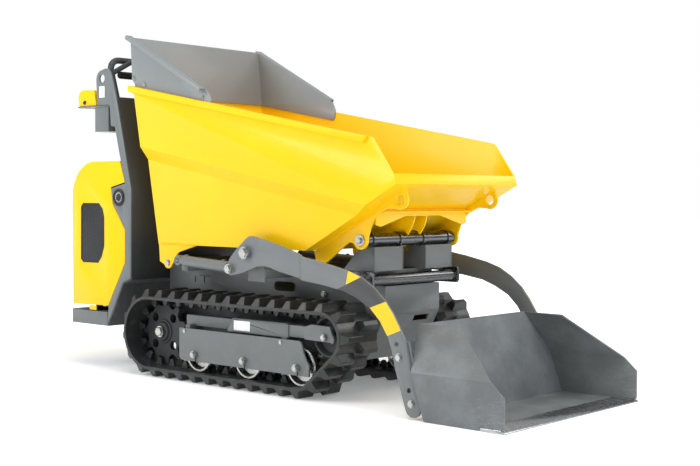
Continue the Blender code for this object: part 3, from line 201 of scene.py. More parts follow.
def painted(name, tint, roughness, coat, peel_depth, dust, chips):
    """Sprayed enamel or powder coat: a slight orange peel, road dust low down, small scuffs."""
    mat, tree, shader = start_material(name, Coat_Weight=coat, Coat_Roughness=0.08,
                                       Specular_IOR_Level=0.25)
    peel = pattern(tree, PEEL, detail=2.0)
    tone = pattern(tree, 5, detail=3.0)             # uneven film over 20 cm
    body = mixed(tree, ramp(tree, tone, 0.35, 0.65), shade(tint, 0.97), tint)
    low = ramp(tree, position(tree)["Z"], DUST_TOP, 0.02)
    cloud = ramp(tree, pattern(tree, 22, detail=6.0, rough=0.62), 0.46, 0.68)
    body = mixed(tree, times(tree, times(tree, low, cloud), dust), body, DUST)
    scuff = ramp(tree, pattern(tree, 34, (1, 1, 5), detail=8.0, rough=0.75), 0.730, 0.765)
    body = mixed(tree, times(tree, scuff, chips), body, shade(tint, 0.55))
    grain = ramp(tree, pattern(tree, 60, detail=5.0), 0.3, 0.7, roughness - 0.05, roughness + 0.07)
    rough = maths(tree, "ADD", grain, times(tree, cloud, dust * 0.2))
    dress(tree, shader, body, rough, peel, peel_depth)
    return mat


def shovel_paint():
    """Powder coat worn to bare steel by gravel on the floor and round the mouth of the shovel."""
    grey = colours().grey
    mat, tree, shader = start_material("scoured_powder_coat")
    scratch = pattern(tree, 60, (0.6, 5, 5), detail=9.0, rough=0.78)    # streaks along the travel
    at = position(tree)
    near_edge = ramp(tree, at["X"], 0.80, 1.06)
    low = ramp(tree, at["Z"], 0.20, 0.0)
    worn = times(tree, times(tree, near_edge, low), 0.9)
    mask = ramp(tree, maths(tree, "ADD", scratch, times(tree, worn, 0.10)), 0.60, 0.74)
    cloud = ramp(tree, pattern(tree, 9, detail=6.0, rough=0.6), 0.35, 0.7)
    paint = mixed(tree, cloud, shade(grey, 0.80), shade(grey, 1.12))
    tree.links.new(times(tree, mask, 0.8), shader.inputs["Metallic"])
    dress(tree, shader, mixed(tree, mask, paint, linear("#A9ABAC")),
          ramp(tree, scratch, 0.3, 0.8, 0.50, 0.30), scratch, 0.00025)
    return mat


def striped_paint():
    """The loader arms' grey powder coat with two warning bands across the downward part."""
    grey, stripe = colours().grey, colours().stripe
    mat, tree, shader = start_material("banded_powder_coat", Coat_Weight=0.15, Coat_Roughness=0.2)
    at = position(tree)
    # each edge of a band is a straight line across the arm: a point on it and its normal in x, z
    edges = (((0.463, 0.420), (0.975, -0.222)), ((0.489, 0.4115), (0.399, -0.917)),
             ((0.587, 0.341), (0.340, -0.940)), ((0.655, 0.258), (0.368, -0.930)))
    past = []
    for (x, z), (nx, nz) in edges:
        reach = maths(tree, "ADD", times(tree, maths(tree, "SUBTRACT", at["X"], x), nx),
                      times(tree, maths(tree, "SUBTRACT", at["Z"], z), nz))
        past.append(maths(tree, "GREATER_THAN", reach, 0.0))
    upper, black, lower = (times(tree, first, maths(tree, "SUBTRACT", 1.0, second))
                           for first, second in zip(past, past[1:]))
    paint = mixed(tree, pattern(tree, 8, detail=4.0), shade(grey, 0.92), shade(grey, 1.06))
    outside = maths(tree, "GREATER_THAN", maths(tree, "ABSOLUTE", at["Y"], 0.0), ARM_FACE)
    body = mixed(tree, times(tree, black, outside), paint, linear("#3E4042"))
    body = mixed(tree, times(tree, maths(tree, "MAXIMUM", upper, lower), outside), body, stripe)
    dress(tree, shader, body, ramp(tree, pattern(tree, 60, detail=5.0), 0.3, 0.7, 0.36, 0.48),
          pattern(tree, PEEL, detail=2.0), 0.00010)
    return mat


def metal(name, code, roughness, streak, depth, stretch=(1, 1, 1)):
    """Bare or plated steel: fine tool marks or crystals that change its gloss."""
    mat, tree, shader = start_material(name, Metallic=1.0)
    marks = pattern(tree, streak, stretch, detail=6.0, rough=0.6)
    tint = linear(code)
    dress(tree, shader, mixed(tree, ramp(tree, marks, 0.3, 0.7), shade(tint, 0.80), tint),
          ramp(tree, marks, 0.25, 0.75, roughness - 0.08, roughness + 0.10), marks, depth)
    return mat


def track_rubber():
    """Carbon-black moulded rubber: a soft sheen, finely pitted, with dry soil on its lugs."""
    mat, tree, shader = start_material("moulded_rubber", IOR=1.52)
    pits = pattern(tree, 380, detail=3.0)
    soil = ramp(tree, pattern(tree, 30, detail=8.0, rough=0.7), 0.52, 0.72)
    body = mixed(tree, times(tree, soil, 0.42), colours().rubber, linear("#5F5D59"))
    dress(tree, shader, body, ramp(tree, pits, 0.3, 0.7, 0.30, 0.46), pits, 0.0002)
    return mat


def cast_iron():
    """Sand-cast iron under dark paint: a grainy skin with rust in its hollows."""
    mat, tree, shader = start_material("painted_casting", Metallic=0.2)
    sand = pattern(tree, 260, detail=5.0, rough=0.6)
    rust = ramp(tree, pattern(tree, 26, detail=8.0, rough=0.7), 0.58, 0.74)
    body = mixed(tree, times(tree, rust, 0.5), linear("#36383A"), linear("#6A5442"))
    dress(tree, shader, body, ramp(tree, sand, 0.3, 0.7, 0.42, 0.62), sand, 0.0003)
    return mat


def moulded_plastic():
    """Soft black PVC and nylon: an even fine grain with a dull sheen."""
    mat, tree, shader = start_material("moulded_plastic", IOR=1.5)
    grain = pattern(tree, 520, detail=2.0)
    tint = colours().plastic
    dress(tree, shader, mixed(tree, grain, tint, shade(tint, 1.5)),
          ramp(tree, grain, 0.3, 0.7, 0.34, 0.50), grain, 0.00012)
    return mat


def label_vinyl():
    """Blank printed vinyl: near white, smooth, with faint rub marks."""
    mat, tree, shader = start_material("blank_vinyl", Coat_Weight=0.3)
    rub = pattern(tree, 90, (1, 1, 3), detail=5.0)
    dress(tree, shader, mixed(tree, rub, linear("#E4E6E6"), linear("#F4F5F5")),
          ramp(tree, rub, 0.3, 0.7, 0.28, 0.42))
    return mat


def make_materials():
    c = colours()
    return {
        "yellow_paint": painted("yellow_enamel", c.yellow, 0.34, 0.06, 0.00004, 0.04, 0.06),
        "grey_paint": painted("grey_powder_coat", c.grey, 0.42, 0.12, 0.00006, 0.12, 0.25),
        # Painted shade: the dark powder coat is darkened to the shade that falls on the firewall.
        "dark_paint": painted("shade_darkened_powder_coat", c.dark, 0.44, 0.10, 0.00006, 0.10, 0.20),
        "extension": painted("skip_back_powder_coat", linear("#868B8C"), 0.42, 0.12, 0.00012,
                             0.10, 0.25),
        "shovel": shovel_paint(),
        "arm": striped_paint(),
        "bright_steel": metal("ground_steel", "#C6C7C8", 0.24, 90, 0.00002, (0.3, 3, 3)),
        "black_steel": metal("oiled_black_steel", "#6C6E70", 0.26, 90, 0.00001, (1, 0.2, 1)),
        "zinc_plate": metal("zinc_plate", "#C4C5C2", 0.28, 120, 0.00002),
        "track_rubber": track_rubber(),
        "cast_iron": cast_iron(),
        "black_plastic": moulded_plastic(),
        "label": label_vinyl(),
    }


MATERIALS = {}


# ---------------------------------------------------------------- mesh helpers
def linked(name, data):
    """A new object of the data, in the scene."""
    ob = bpy.data.objects.new(name, data)
    bpy.context.scene.collection.objects.link(ob)
    return ob


def at_y(point, y):
    """A side-view point, x and z, brought to y."""
    return point[0], y, point[1]


def object_from(bm, name):
    """A linked object that holds the mesh of bm, its faces pointing outwards."""
    bmesh.ops.remove_doubles(bm, verts=bm.verts, dist=1e-6)
    bmesh.ops.recalc_face_normals(bm, faces=bm.faces)
    mesh = bpy.data.meshes.new(name)
    bm.to_mesh(mesh)
    bm.free()
    return linked(name, mesh)


def made_plain(ob):
    """Apply the object's modifiers: its evaluated mesh becomes its own."""
    graph = bpy.context.evaluated_depsgraph_get()
    mesh = bpy.data.meshes.new_from_object(ob.evaluated_get(graph))
    mesh.name = ob.name
    ob.modifiers.clear()
    ob.data = mesh
    return ob


def settle(ob, material, body, slot, stands_for=()):
    """Give a finished piece its material and its body, and hide the nodes it stands for. The slot
    is not used.
    """
    ob.data.materials.clear()
    ob.data.materials.append(MATERIALS[material])
    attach(ob, body)
    if stands_for:
        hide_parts(*stands_for)
    return ob


def settle_for(ob, material, node):
    """Settle a piece that takes a CAD node's place, with the node's own body."""
    return settle(ob, material, NODE_BODY[node], NODE_SLOT[node], (node,))


def smooth(ob, degrees=32):
    ob.data.shade_smooth()
    ob.data.set_sharp_from_angle(angle=math.radians(degrees))
    return ob


def turn_profile(bm, profile, centre, direction, segments):
    """Add a solid turned from (radius, height) points, closed on the axis or round a bore."""
    before = set(bm.verts)
    rows = []
    for radius, height in profile:
        if radius < 1e-6:
            rows.append([bm.verts.new((0, 0, height))] * segments)
        else:
            rows.append([bm.verts.new((radius * math.cos(2 * math.pi * i / segments),
                                       radius * math.sin(2 * math.pi * i / segments), height))
                         for i in range(segments)])
    bored = profile[0][0] > 1e-6
    for r in range(len(rows) if bored else len(rows) - 1):
        lower, upper = rows[r], rows[(r + 1) % len(rows)]
        for i in range(segments):
            j = (i + 1) % segments
            bm.faces.new(list(dict.fromkeys((lower[i], lower[j], upper[j], upper[i]))))
    spin = Vector((0, 0, 1)).rotation_difference(Vector(direction).normalized())
    bmesh.ops.transform(bm, matrix=Matrix.Translation(centre) @ spin.to_matrix().to_4x4(),
                        verts=[v for v in bm.verts if v not in before])


def turned(name, *parts):
    """One object of several turned solids, each (profile, centre, direction)."""
    bm = bmesh.new()
    for profile, centre, direction in parts:
        turn_profile(bm, profile, centre, direction, sizes().segments)
    return smooth(object_from(bm, name), 28)


def circle(centre, radius, count, start=0.0):
    return [(centre[0] + radius * math.cos(start + 2 * math.pi * i / count),
             centre[1] + radius * math.sin(start + 2 * math.pi * i / count)) for i in range(count)]


def plate_y(bm, low, high, outline, *holes):
    """Add a plate across Y with holes to bm."""
    edges = []
    low, high = min(low, high), max(low, high)
    for loop in (outline, *holes):
        verts = [bm.verts.new((u, low, v)) for u, v in loop]
        edges += [bm.edges.new((verts[i - 1], verts[i])) for i in range(len(verts))]
    filled = bmesh.ops.triangle_fill(bm, use_beauty=True, edges=edges)["geom"]
    faces = [g for g in filled if isinstance(g, bmesh.types.BMFace)]
    top = bmesh.ops.extrude_face_region(bm, geom=faces)["geom"]
    bmesh.ops.translate(bm, vec=(0, high - low, 0),
                        verts=[g for g in top if isinstance(g, bmesh.types.BMVert)])


def rectangle(rear, front, low, high):
    return [(rear, low), (front, low), (front, high), (rear, high)]


def slab(name, low, high, outline, width):
    """A thin plate across Y with its edges barely broken."""
    bm = bmesh.new()
    plate_y(bm, low, high, outline)
    return rounded(object_from(bm, name), width, 1)


def rounded(ob, width, segments=2, angle=30):
    """Round the sharp edges of a finished solid and shade it smooth."""
    ob.data.shade_smooth()
    mod = ob.modifiers.new("edges", "BEVEL")
    mod.width = width
    mod.segments = segments
    mod.limit_method = "ANGLE"
    mod.angle_limit = math.radians(angle)
    mod.harden_normals = True
    mod.use_clamp_overlap = True
    return made_plain(ob)


def copy_of(node):
    """A merged copy of a CAD node, its flat faces in one piece each."""
    bm = bmesh.new()
    bm.from_mesh(frame["nodes"][node].data)
    bmesh.ops.remove_doubles(bm, verts=bm.verts, dist=1e-5)
    bmesh.ops.dissolve_limit(bm, angle_limit=math.radians(0.6), verts=bm.verts, edges=bm.edges,
                             delimit={"NORMAL"})
    mesh = bpy.data.meshes.new(node)
    bm.to_mesh(mesh)
    bm.free()
    return linked(f"{node}_finished", mesh)


def finish_node(node, width, material=None):
    """The visible form of a CAD node: the same solid with its edges rounded."""
    return settle_for(rounded(copy_of(node), width), material or NODE_SLOT[node], node)


# ---------------------------------------------------------------- geometry node trees
def new_tree(name, *inputs):
    """A geometry tree with named inputs; returns it, its input node and the inputs' identifiers."""
    tree = bpy.data.node_groups.new(name, "GeometryNodeTree")
    tree.interface.new_socket("Geometry", in_out="INPUT", socket_type="NodeSocketGeometry")
    keys = {}
    for label, kind in inputs:
        keys[label] = tree.interface.new_socket(label, in_out="INPUT", socket_type=kind).identifier
    tree.interface.new_socket("Geometry", in_out="OUTPUT", socket_type="NodeSocketGeometry")
    return tree, tree.nodes.new("NodeGroupInput"), keys


def close_tree(tree, source, geometry):
    """Realize the instances, set the material and send the result out."""
    real = add(tree, "GeometryNodeRealizeInstances", {"Geometry": geometry})
    done = add(tree, "GeometryNodeSetMaterial", {"Geometry": real.outputs[0],
                                                 "Material": source.outputs["Material"]})
    end = tree.nodes.new("NodeGroupOutput")
    tree.links.new(done.outputs[0], end.inputs[0])


def bolt_tree():
    """A chamfered hexagon on a washer at every point, facing along the point's own direction."""
    tree, source, keys = new_tree("Hex bolts", ("Radius", "NodeSocketFloat"),
                                  ("Height", "NodeSocketFloat"), ("Material", "NodeSocketMaterial"))
    radius, tall = source.outputs["Radius"], source.outputs["Height"]
    washer = add(tree, "GeometryNodeMeshCylinder",
                 {"Vertices": 28, "Radius": maths(tree, "MULTIPLY", radius, 1.18),
                  "Depth": maths(tree, "MULTIPLY", tall, 0.22)})
    head = add(tree, "GeometryNodeMeshCylinder",
               {"Vertices": 6, "Radius": radius, "Depth": maths(tree, "MULTIPLY", tall, 0.85)})
    crown = add(tree, "GeometryNodeMeshCone",
                {"Vertices": 6, "Radius Top": maths(tree, "MULTIPLY", radius, 0.86),
                 "Radius Bottom": radius, "Depth": maths(tree, "MULTIPLY", tall, 0.15)})
    parts = []
    for part, share in ((washer, 0.15), (head, 0.425), (crown, 0.85)):
        lift = add(tree, "ShaderNodeCombineXYZ", {"Z": maths(tree, "MULTIPLY", tall, share)})
        parts.append(add(tree, "GeometryNodeTransform",
                         {"Geometry": part.outputs["Mesh"], "Translation": lift.outputs[0]}))
    bolt = tree.nodes.new("GeometryNodeJoinGeometry")
    for part in reversed(parts):
        tree.links.new(part.outputs[0], bolt.inputs[0])
    facing = add(tree, "GeometryNodeInputNamedAttribute", {"Name": "facing"},
                 data_type="FLOAT_VECTOR")
    turn = add(tree, "FunctionNodeAlignRotationToVector", {"Vector": facing.outputs[0]}, axis="Z")
    scale = add(tree, "GeometryNodeInputNamedAttribute", {"Name": "scale"}, data_type="FLOAT")
    placed = add(tree, "GeometryNodeInstanceOnPoints",
                 {"Points": source.outputs["Geometry"], "Instance": bolt.outputs[0],
                  "Rotation": turn.outputs[0], "Scale": scale.outputs[0]})
    close_tree(tree, source, placed.outputs[0])
    return tree, keys


def bead_tree():
    """Overlapping ripples of a weld along every line."""
    tree, source, keys = new_tree("Weld bead", ("Radius", "NodeSocketFloat"),
                                  ("Material", "NodeSocketMaterial"))
    line = add(tree, "GeometryNodeMeshToCurve", {"Mesh": source.outputs["Geometry"]})
    points = add(tree, "GeometryNodeCurveToPoints",
                 {"Curve": line.outputs[0], "Length": maths(tree, "MULTIPLY",
                                                             source.outputs["Radius"], 1.25)},
                 mode="LENGTH")
    ripple = add(tree, "GeometryNodeMeshIcoSphere", {"Radius": source.outputs["Radius"],
                                                     "Subdivisions": 2})
    soft = add(tree, "GeometryNodeSetShadeSmooth", {"Geometry": ripple.outputs["Mesh"]})
    placed = add(tree, "GeometryNodeInstanceOnPoints",
                 {"Points": points.outputs["Points"], "Instance": soft.outputs[0],
                  "Rotation": points.outputs["Rotation"], "Scale": (1.0, 1.0, 0.85)})
    close_tree(tree, source, placed.outputs[0])
    return tree, keys


def strand_tree():
    """A flat strand along every line."""
    tree, source, keys = new_tree("Grille strands", ("Radius", "NodeSocketFloat"),
                                  ("Material", "NodeSocketMaterial"))
    line = add(tree, "GeometryNodeMeshToCurve", {"Mesh": source.outputs["Geometry"]})
    section = add(tree, "GeometryNodeCurvePrimitiveCircle",
                  {"Resolution": 6, "Radius": source.outputs["Radius"]})
    tube = add(tree, "GeometryNodeCurveToMesh", {"Curve": line.outputs[0],
                                                 "Profile Curve": section.outputs[0],
                                                 "Fill Caps": True})
    close_tree(tree, source, tube.outputs[0])
    return tree, keys


TREES = {}


def grown(name, kind, ob, material, body, slot, **values):
    """Run a geometry tree on the object's points or lines and settle the plain result."""
    tree, keys = TREES[kind]
    ob.name = name
    mod = ob.modifiers.new(kind, "NODES")
    mod.node_group = tree
    for label, value in values.items():
        mod[keys[label]] = value
    mod[keys["Material"]] = MATERIALS[material]
    made_plain(ob)
    ob.data.name = name
    return settle(ob, material, body, slot)


def bolts(name, body, rows, material="zinc_plate"):
    """Hexagon bolts at (point, facing, scale) rows."""
    mesh = bpy.data.meshes.new(name)
    mesh.from_pydata([row[0] for row in rows], [], [])
    mesh.attributes.new("facing", "FLOAT_VECTOR", "POINT")
    mesh.attributes.new("scale", "FLOAT", "POINT")
    for i, (_, direction, size) in enumerate(rows):
        mesh.attributes["facing"].data[i].vector = direction
        mesh.attributes["scale"].data[i].value = size
    return grown(name, "bolts", linked(name, mesh), material, body, "zinc_plate",
                 Radius=sizes().bolt_radius, Height=sizes().bolt_height)


def lines_object(lines):
    """Edges along each list of points."""
    mesh = bpy.data.meshes.new("lines")
    points, edges = [], []
    for line in lines:
        first = len(points)
        points += line
        edges += [(first + i, first + i + 1) for i in range(len(line) - 1)]
    mesh.from_pydata(points, edges, [])
    return linked("lines", mesh)


def welds(name, body, material, slot, lines):
    return grown(name, "bead", lines_object(lines), material, body, slot,
                 Radius=sizes().weld_bead)


# ---------------------------------------------------------------- where the pieces stand
HINGE = (0.4025, 0.534)         # skip hinge, x and z
PIVOT = (-0.019, 0.482)         # loader arm pivot
ARM_LUG = (-0.099, 0.424)
LIFT_ANCHOR = (-0.400, 0.440)
LIFT_Y = 0.3315
TIP_ANCHOR = (0.300, 0.165)
TIP_LUG = (0.210, 0.468)
TRACK_Y = 0.265                 # middle of a belt
BELT_IN, BELT_OUT = 0.170, 0.360
BAND = 0.012                    # thickness of a belt between its lugs
SPROCKET_BAND, IDLER_BAND, ROLLER_BAND = 0.1370, 0.0850, 0.0788   # outside radius of the belt
STEPS_ROUND = 1440
LUG_SPLIT, LUG_SLOPE = 0.003, 0.016     # gap beside the middle, slope of an outer end
GUIDE_APART = 0.042             # between the two rows of guide lugs
SPROCKET = (-0.558, 0.163)
IDLER = (0.325, 0.215)
ROLLERS = (("rear", -0.300), ("middle", -0.045), ("front", 0.210))
ROLLER_Z = 0.1048
WHEEL_GUIDE = 0.033             # half the gap that the guide lugs run in
GUARD_IN, GUARD_OUT = 0.3385, 0.3455
GUARD_FOOT, GUARD_TOP, GUARD_REAR = 0.078, 0.195, -0.390
GUARD_SLOT = 0.004              # half the width of a slot
GUARD_BOLTS = (-0.360, 0.130)
PLATE_Y = 0.330                 # outside of the rear side plates
GRILLE = [(-1.000, 0.630), (-0.988, 0.643), (-0.888, 0.643), (-0.866, 0.622), (-0.856, 0.590),
          (-0.856, 0.478), (-0.872, 0.436), (-0.893, 0.412), (-0.988, 0.411), (-1.001, 0.424)]
EXHAUST = (-0.760, 0.668)
LEVER_Z = 1.045


# ---------------------------------------------------------------- plates and sheets
PLATES = ("chassis_tub", "hinge_post_left", "hinge_post_right", "rear_bumper", "console_box",
          "cutting_edge", "engine_block", "hydraulic_tank",
          *[f"{part}_{side}" for side, _ in SIDES for part in
            ("track_frame", "idler_fork", "rear_plate", "loader_arm",
             "loader_pivot", "drive_motor")])
SHEETS = ("firewall", "engine_hood", "skip_body", "skip_extension", "shovel",
          "hood_grille_left", "hood_grille_right")
SPECIAL = {"skip_extension": "extension", "shovel": "shovel", "loader_arm_left": "arm",
           "loader_arm_right": "arm"}


class BARROW_OT_plates(bpy.types.Operator):
    """Frame, arm and casting plates with their cut edges rounded"""
    bl_idname = "barrow.plates"
    bl_label = "Plates"

    def execute(self, context):
        for node in PLATES:
            finish_node(node, sizes().plate_edge, SPECIAL.get(node))
        return {"FINISHED"}


class BARROW_OT_sheets(bpy.types.Operator):
    """Skip, hood, shovel and other folded sheet work"""
    bl_idname = "barrow.sheets"
    bl_label = "Sheets"

    def execute(self, context):
        for node in SHEETS:
            finish_node(node, sizes().sheet_edge, SPECIAL.get(node))
        finish_node("console_cover", 0.006)
        return {"FINISHED"}


class BARROW_OT_turned(bpy.types.Operator):
    """Cross tube, exhaust and pump, smooth all round"""
    bl_idname = "barrow.turned"
    bl_label = "Tubes and castings"

    def execute(self, context):
        for node, material in (("cross_tube", "black_steel"), ("exhaust", None),
                               ("hydraulic_pump", None)):
            finish_node(node, 0.0008, material)
        return {"FINISHED"}


# ---------------------------------------------------------------- tracks
def track_path():
    """The band's outside as a function of the way along it, and its whole length.

    The band is stretched round the sprocket, the idler and the front roller."""
    discs = [(Vector(SPROCKET), SPROCKET_BAND), (Vector(IDLER), IDLER_BAND),
             (Vector((ROLLERS[-1][1], ROLLER_Z)), ROLLER_BAND)]
    points = []
    for i in range(STEPS_ROUND):
        turn = 2 * math.pi * i / STEPS_ROUND
        out = Vector((math.cos(turn), math.sin(turn)))
        centre, radius = max(discs, key=lambda disc: out.dot(disc[0]) + disc[1])
        points.append((centre + out * radius, out))
    ways = [0.0]
    for (p, _), (q, _) in zip(points, points[1:] + points[:1]):
        ways.append(ways[-1] + (q - p).length)

    def at(way):
        way %= ways[-1]
        i = max(k for k in range(len(points)) if ways[k] <= way)
        p, out = points[i]
        q = points[(i + 1) % len(points)][0]
        share = (way - ways[i]) / max(ways[i + 1] - ways[i], 1e-9)
        return p.lerp(q, share), out

    return at, ways[-1]


def lug(bm, at, way, s, across, taper, foot=0.042, crown=0.018, base=-0.003, tip=0.026):
    """One block of rubber, narrower at its crown and sloped at its ends."""
    middle, out = at(way)
    ahead = Vector((-out.y, out.x))
    low, high = [], []
    for sign in (-1, 1):
        p, n = at(way + sign * foot / 2)
        q = middle + out * tip + ahead * sign * crown / 2
        for ends, point, cut in ((low, p + n * base, (0, 0)), (high, q, taper)):
            ends += [bm.verts.new((point.x, s * (across[0] + cut[0]), point.y)),
                     bm.verts.new((point.x, s * (across[1] - cut[1]), point.y))]
    for ring in (low, high):
        ring[2], ring[3] = ring[3], ring[2]
        bm.faces.new(ring)
    for i in range(4):
        bm.faces.new((low[i - 1], low[i], high[i], high[i - 1]))


class BARROW_OT_tracks(bpy.types.Operator):
    """Rubber belts with staggered outer lugs and two rows of guide lugs"""
    bl_idname = "barrow.tracks"
    bl_label = "Track belts"

    pitch: length("Lug pitch", "Distance from one lug to the next", 0.072)
    stations: IntProperty(name="Stations", description="Sections along a belt", default=220,
                          min=60, max=600)

    def execute(self, context):
        at, whole = track_path()
        links = 2 * round(whole / (2 * self.pitch))
        link = whole / links
        for side, s in SIDES:
            bm = bmesh.new()
            self.band(bm, [at(whole * i / self.stations) for i in range(self.stations)], s)
            for i in range(links):
                half_on = (i + 0.5) * link
                lug(bm, at, i * link, s, (TRACK_Y + LUG_SPLIT, BELT_OUT), (0.004, LUG_SLOPE))
                lug(bm, at, half_on, s, (BELT_IN, TRACK_Y - LUG_SPLIT), (LUG_SLOPE, 0.004))
                for y in (TRACK_Y - GUIDE_APART / 2, TRACK_Y + GUIDE_APART / 2):
                    lug(bm, at, half_on, s, (y - 0.007, y + 0.007), (0.002, 0.002),
                        0.040, 0.014, -0.008, -0.038)
            belt = rounded(object_from(bm, f"track_belt_{side}_rubber"), sizes().rubber_edge)
            settle_for(belt, "track_rubber", f"track_belt_{side}")
        return {"FINISHED"}

    def band(self, bm, ring, s):
        """The plain belt between the lugs, as four strips."""
        rows = [[bm.verts.new((p.x - n.x * deep, s * y, p.y - n.y * deep)) for p, n in ring]
                for deep, y in ((0, BELT_IN), (0, BELT_OUT), (BAND, BELT_OUT), (BAND, BELT_IN))]
        for one, two in zip(rows, rows[1:] + rows[:1]):
            for i in range(len(ring)):
                bm.faces.new((one[i - 1], one[i], two[i], two[i - 1]))


def wheel_profile(radius, half, guide):
    """Two rims joined by a thinner hub, each with a recessed face and a raised boss."""
    waist = radius - 0.032
    side = [(0, half - 0.012), (0.016, half - 0.012), (0.020, half - 0.015), (0.026, half - 0.018),
            (radius - 0.018, half - 0.018), (radius - 0.012, half - 0.004), (radius - 0.009, half),
            (radius - 0.003, half), (radius, half - 0.003), (radius, guide + 0.002),
            (radius - 0.002, guide), (waist + 0.003, guide), (waist, guide - 0.003)]
    return side + [(r, -h) for r, h in reversed(side)]


class BARROW_OT_wheels(bpy.types.Operator):
    """Rollers and their guards, idlers and drive sprockets"""
    bl_idname = "barrow.wheels"
    bl_label = "Wheels"

    def execute(self, context):
        for side, s in SIDES:
            for place, x in ROLLERS:
                node = f"roller_{side}_{place}"
                wheel = turned(f"{node}_wheel", (wheel_profile(0.0664, 0.066, WHEEL_GUIDE),
                                                 (x, s * TRACK_Y, ROLLER_Z), (0, s, 0)))
                settle_for(wheel, "zinc_plate", node)
            node = f"idler_{side}"
            wheel = turned(f"{node}_wheel", (wheel_profile(0.0714, 0.052, WHEEL_GUIDE),
                                             at_y(IDLER, s * TRACK_Y), (0, s, 0)))
            settle_for(wheel, "cast_iron", node)
            self.sprocket(side, s)
            self.guard(side, s)
        return {"FINISHED"}

    def guard(self, side, s):
        """Plate outside the rollers, with a slot up to each axle bolt and one cut-out corner."""
        outline = [(GUARD_REAR, GUARD_FOOT + 0.010), (GUARD_REAR + 0.012, GUARD_FOOT)]
        for _, x in ROLLERS:
            top = ROLLER_Z - 0.010
            outline += [(x - GUARD_SLOT, GUARD_FOOT), (x - GUARD_SLOT, top),
                        (x + GUARD_SLOT, top), (x + GUARD_SLOT, GUARD_FOOT)]
        outline += [(0.262, GUARD_FOOT), (0.262, 0.118), (0.250, 0.130), (0.236, 0.158),
                    (0.228, 0.184), (0.222, 0.192), (0.212, GUARD_TOP), (GUARD_REAR, GUARD_TOP)]
        bm = bmesh.new()
        plate_y(bm, s * GUARD_IN, s * GUARD_OUT, outline)
        for x in GUARD_BOLTS:
            plate_y(bm, s * 0.3305, s * (GUARD_IN + 0.001),
                    rectangle(x - 0.012, x + 0.012, 0.176, 0.192))
        plate = rounded(object_from(bm, f"roller_guard_{side}_plate"), 0.0010)
        spacers = turned(f"roller_guard_{side}_spacers",
                         *[([(0, 0), (0.013, 0), (0.013, 0.0248), (0, 0.0248)],
                            (x, s * 0.3340, ROLLER_Z), (0, s, 0)) for _, x in ROLLERS])
        node = f"roller_guard_{side}"
        settle_for(plate, "grey_paint", node)
        settle(spacers, "zinc_plate", NODE_BODY[node], "zinc_plate")

    def sprocket(self, side, s):
        """Toothed plate with four holes, a dished hub and its nut."""
        teeth, tip, root = 11, 0.1235, 0.0975
        step = 2 * math.pi / teeth
        outline = []
        for i in range(teeth):
            for radius, share in ((root, -0.5), (root, -0.33), (root + 0.004, -0.27),
                                  (tip - 0.003, -0.13), (tip, -0.09), (tip, 0.09),
                                  (tip - 0.003, 0.13), (root + 0.004, 0.27), (root, 0.33)):
                angle = (i + 0.5 + share) * step
                outline.append((SPROCKET[0] + radius * math.cos(angle),
                                SPROCKET[1] + radius * math.sin(angle)))
        holes = [circle((SPROCKET[0] + 0.072 * math.cos(a), SPROCKET[1] + 0.072 * math.sin(a)),
                        0.017, 32) for a in (math.pi / 4 + i * math.pi / 2 for i in range(4))]
        bm = bmesh.new()
        plate_y(bm, s * (TRACK_Y - 0.010), s * (TRACK_Y + 0.010), outline, *holes)
        plate = rounded(object_from(bm, f"sprocket_{side}_plate"), 0.0016, 2, 40)
        node = f"sprocket_{side}"
        settle_for(plate, "cast_iron", node)
        hub = turned(f"sprocket_{side}_hub",
                     ([(0, -0.016), (0.046, -0.016), (0.046, 0.0125), (0.044, 0.0145),
                       (0.038, 0.015), (0.034, 0.0225), (0.031, 0.024), (0.020, 0.024),
                       (0.0185, 0.0255), (0.0185, 0.030), (0, 0.030)],
                      at_y(SPROCKET, s * TRACK_Y), (0, s, 0)))
        settle(hub, "cast_iron", node, "cast_iron")
        bolts(f"sprocket_{side}_nut", node,
              [(at_y(SPROCKET, s * (TRACK_Y + 0.030)), (0, s, 0), 1.90)])


# ---------------------------------------------------------------- skip hinge and cylinders
class BARROW_OT_hinge(bpy.types.Operator):
    """Hinge tube with a collar over each post edge, and the hinge pin with its end washers"""
    bl_idname = "barrow.hinge"
    bl_label = "Skip hinge"

    def execute(self, context):
        half, r, bore = 0.236, 0.0225, 0.0108
        collar, wide = r + 0.0040, 0.006
        profile = [(bore, -half), (r - 0.001, -half), (r, -half + 0.001)]
        for middle in (-0.204, -0.063, 0.063, 0.204):
            profile += [(r, middle - wide), (collar, middle - wide + 0.001),
                        (collar, middle + wide - 0.001), (r, middle + wide)]
        profile += [(r, half - 0.001), (r - 0.001, half), (bore, half)]
        tube = turned("hinge_tube_steel", (profile, at_y(HINGE, 0), (0, 1, 0)))
        settle_for(tube, "black_steel", "hinge_tube")
        end = 0.265
        pin = turned("hinge_pin_steel",
                     ([(0, -end), (0.0085, -end), (0.010, -end + 0.0015), (0.010, end - 0.0015),
                       (0.0085, end), (0, end)], at_y(HINGE, 0), (0, 1, 0)),
                     *[([(0.0103, 0), (0.019, 0), (0.020, 0.001), (0.020, 0.003), (0.019, 0.004),
                         (0.0103, 0.004)], at_y(HINGE, s * 0.2525), (0, s, 0))
                       for _, s in SIDES])
        settle_for(pin, "zinc_plate", "hinge_pin")
        return {"FINISHED"}


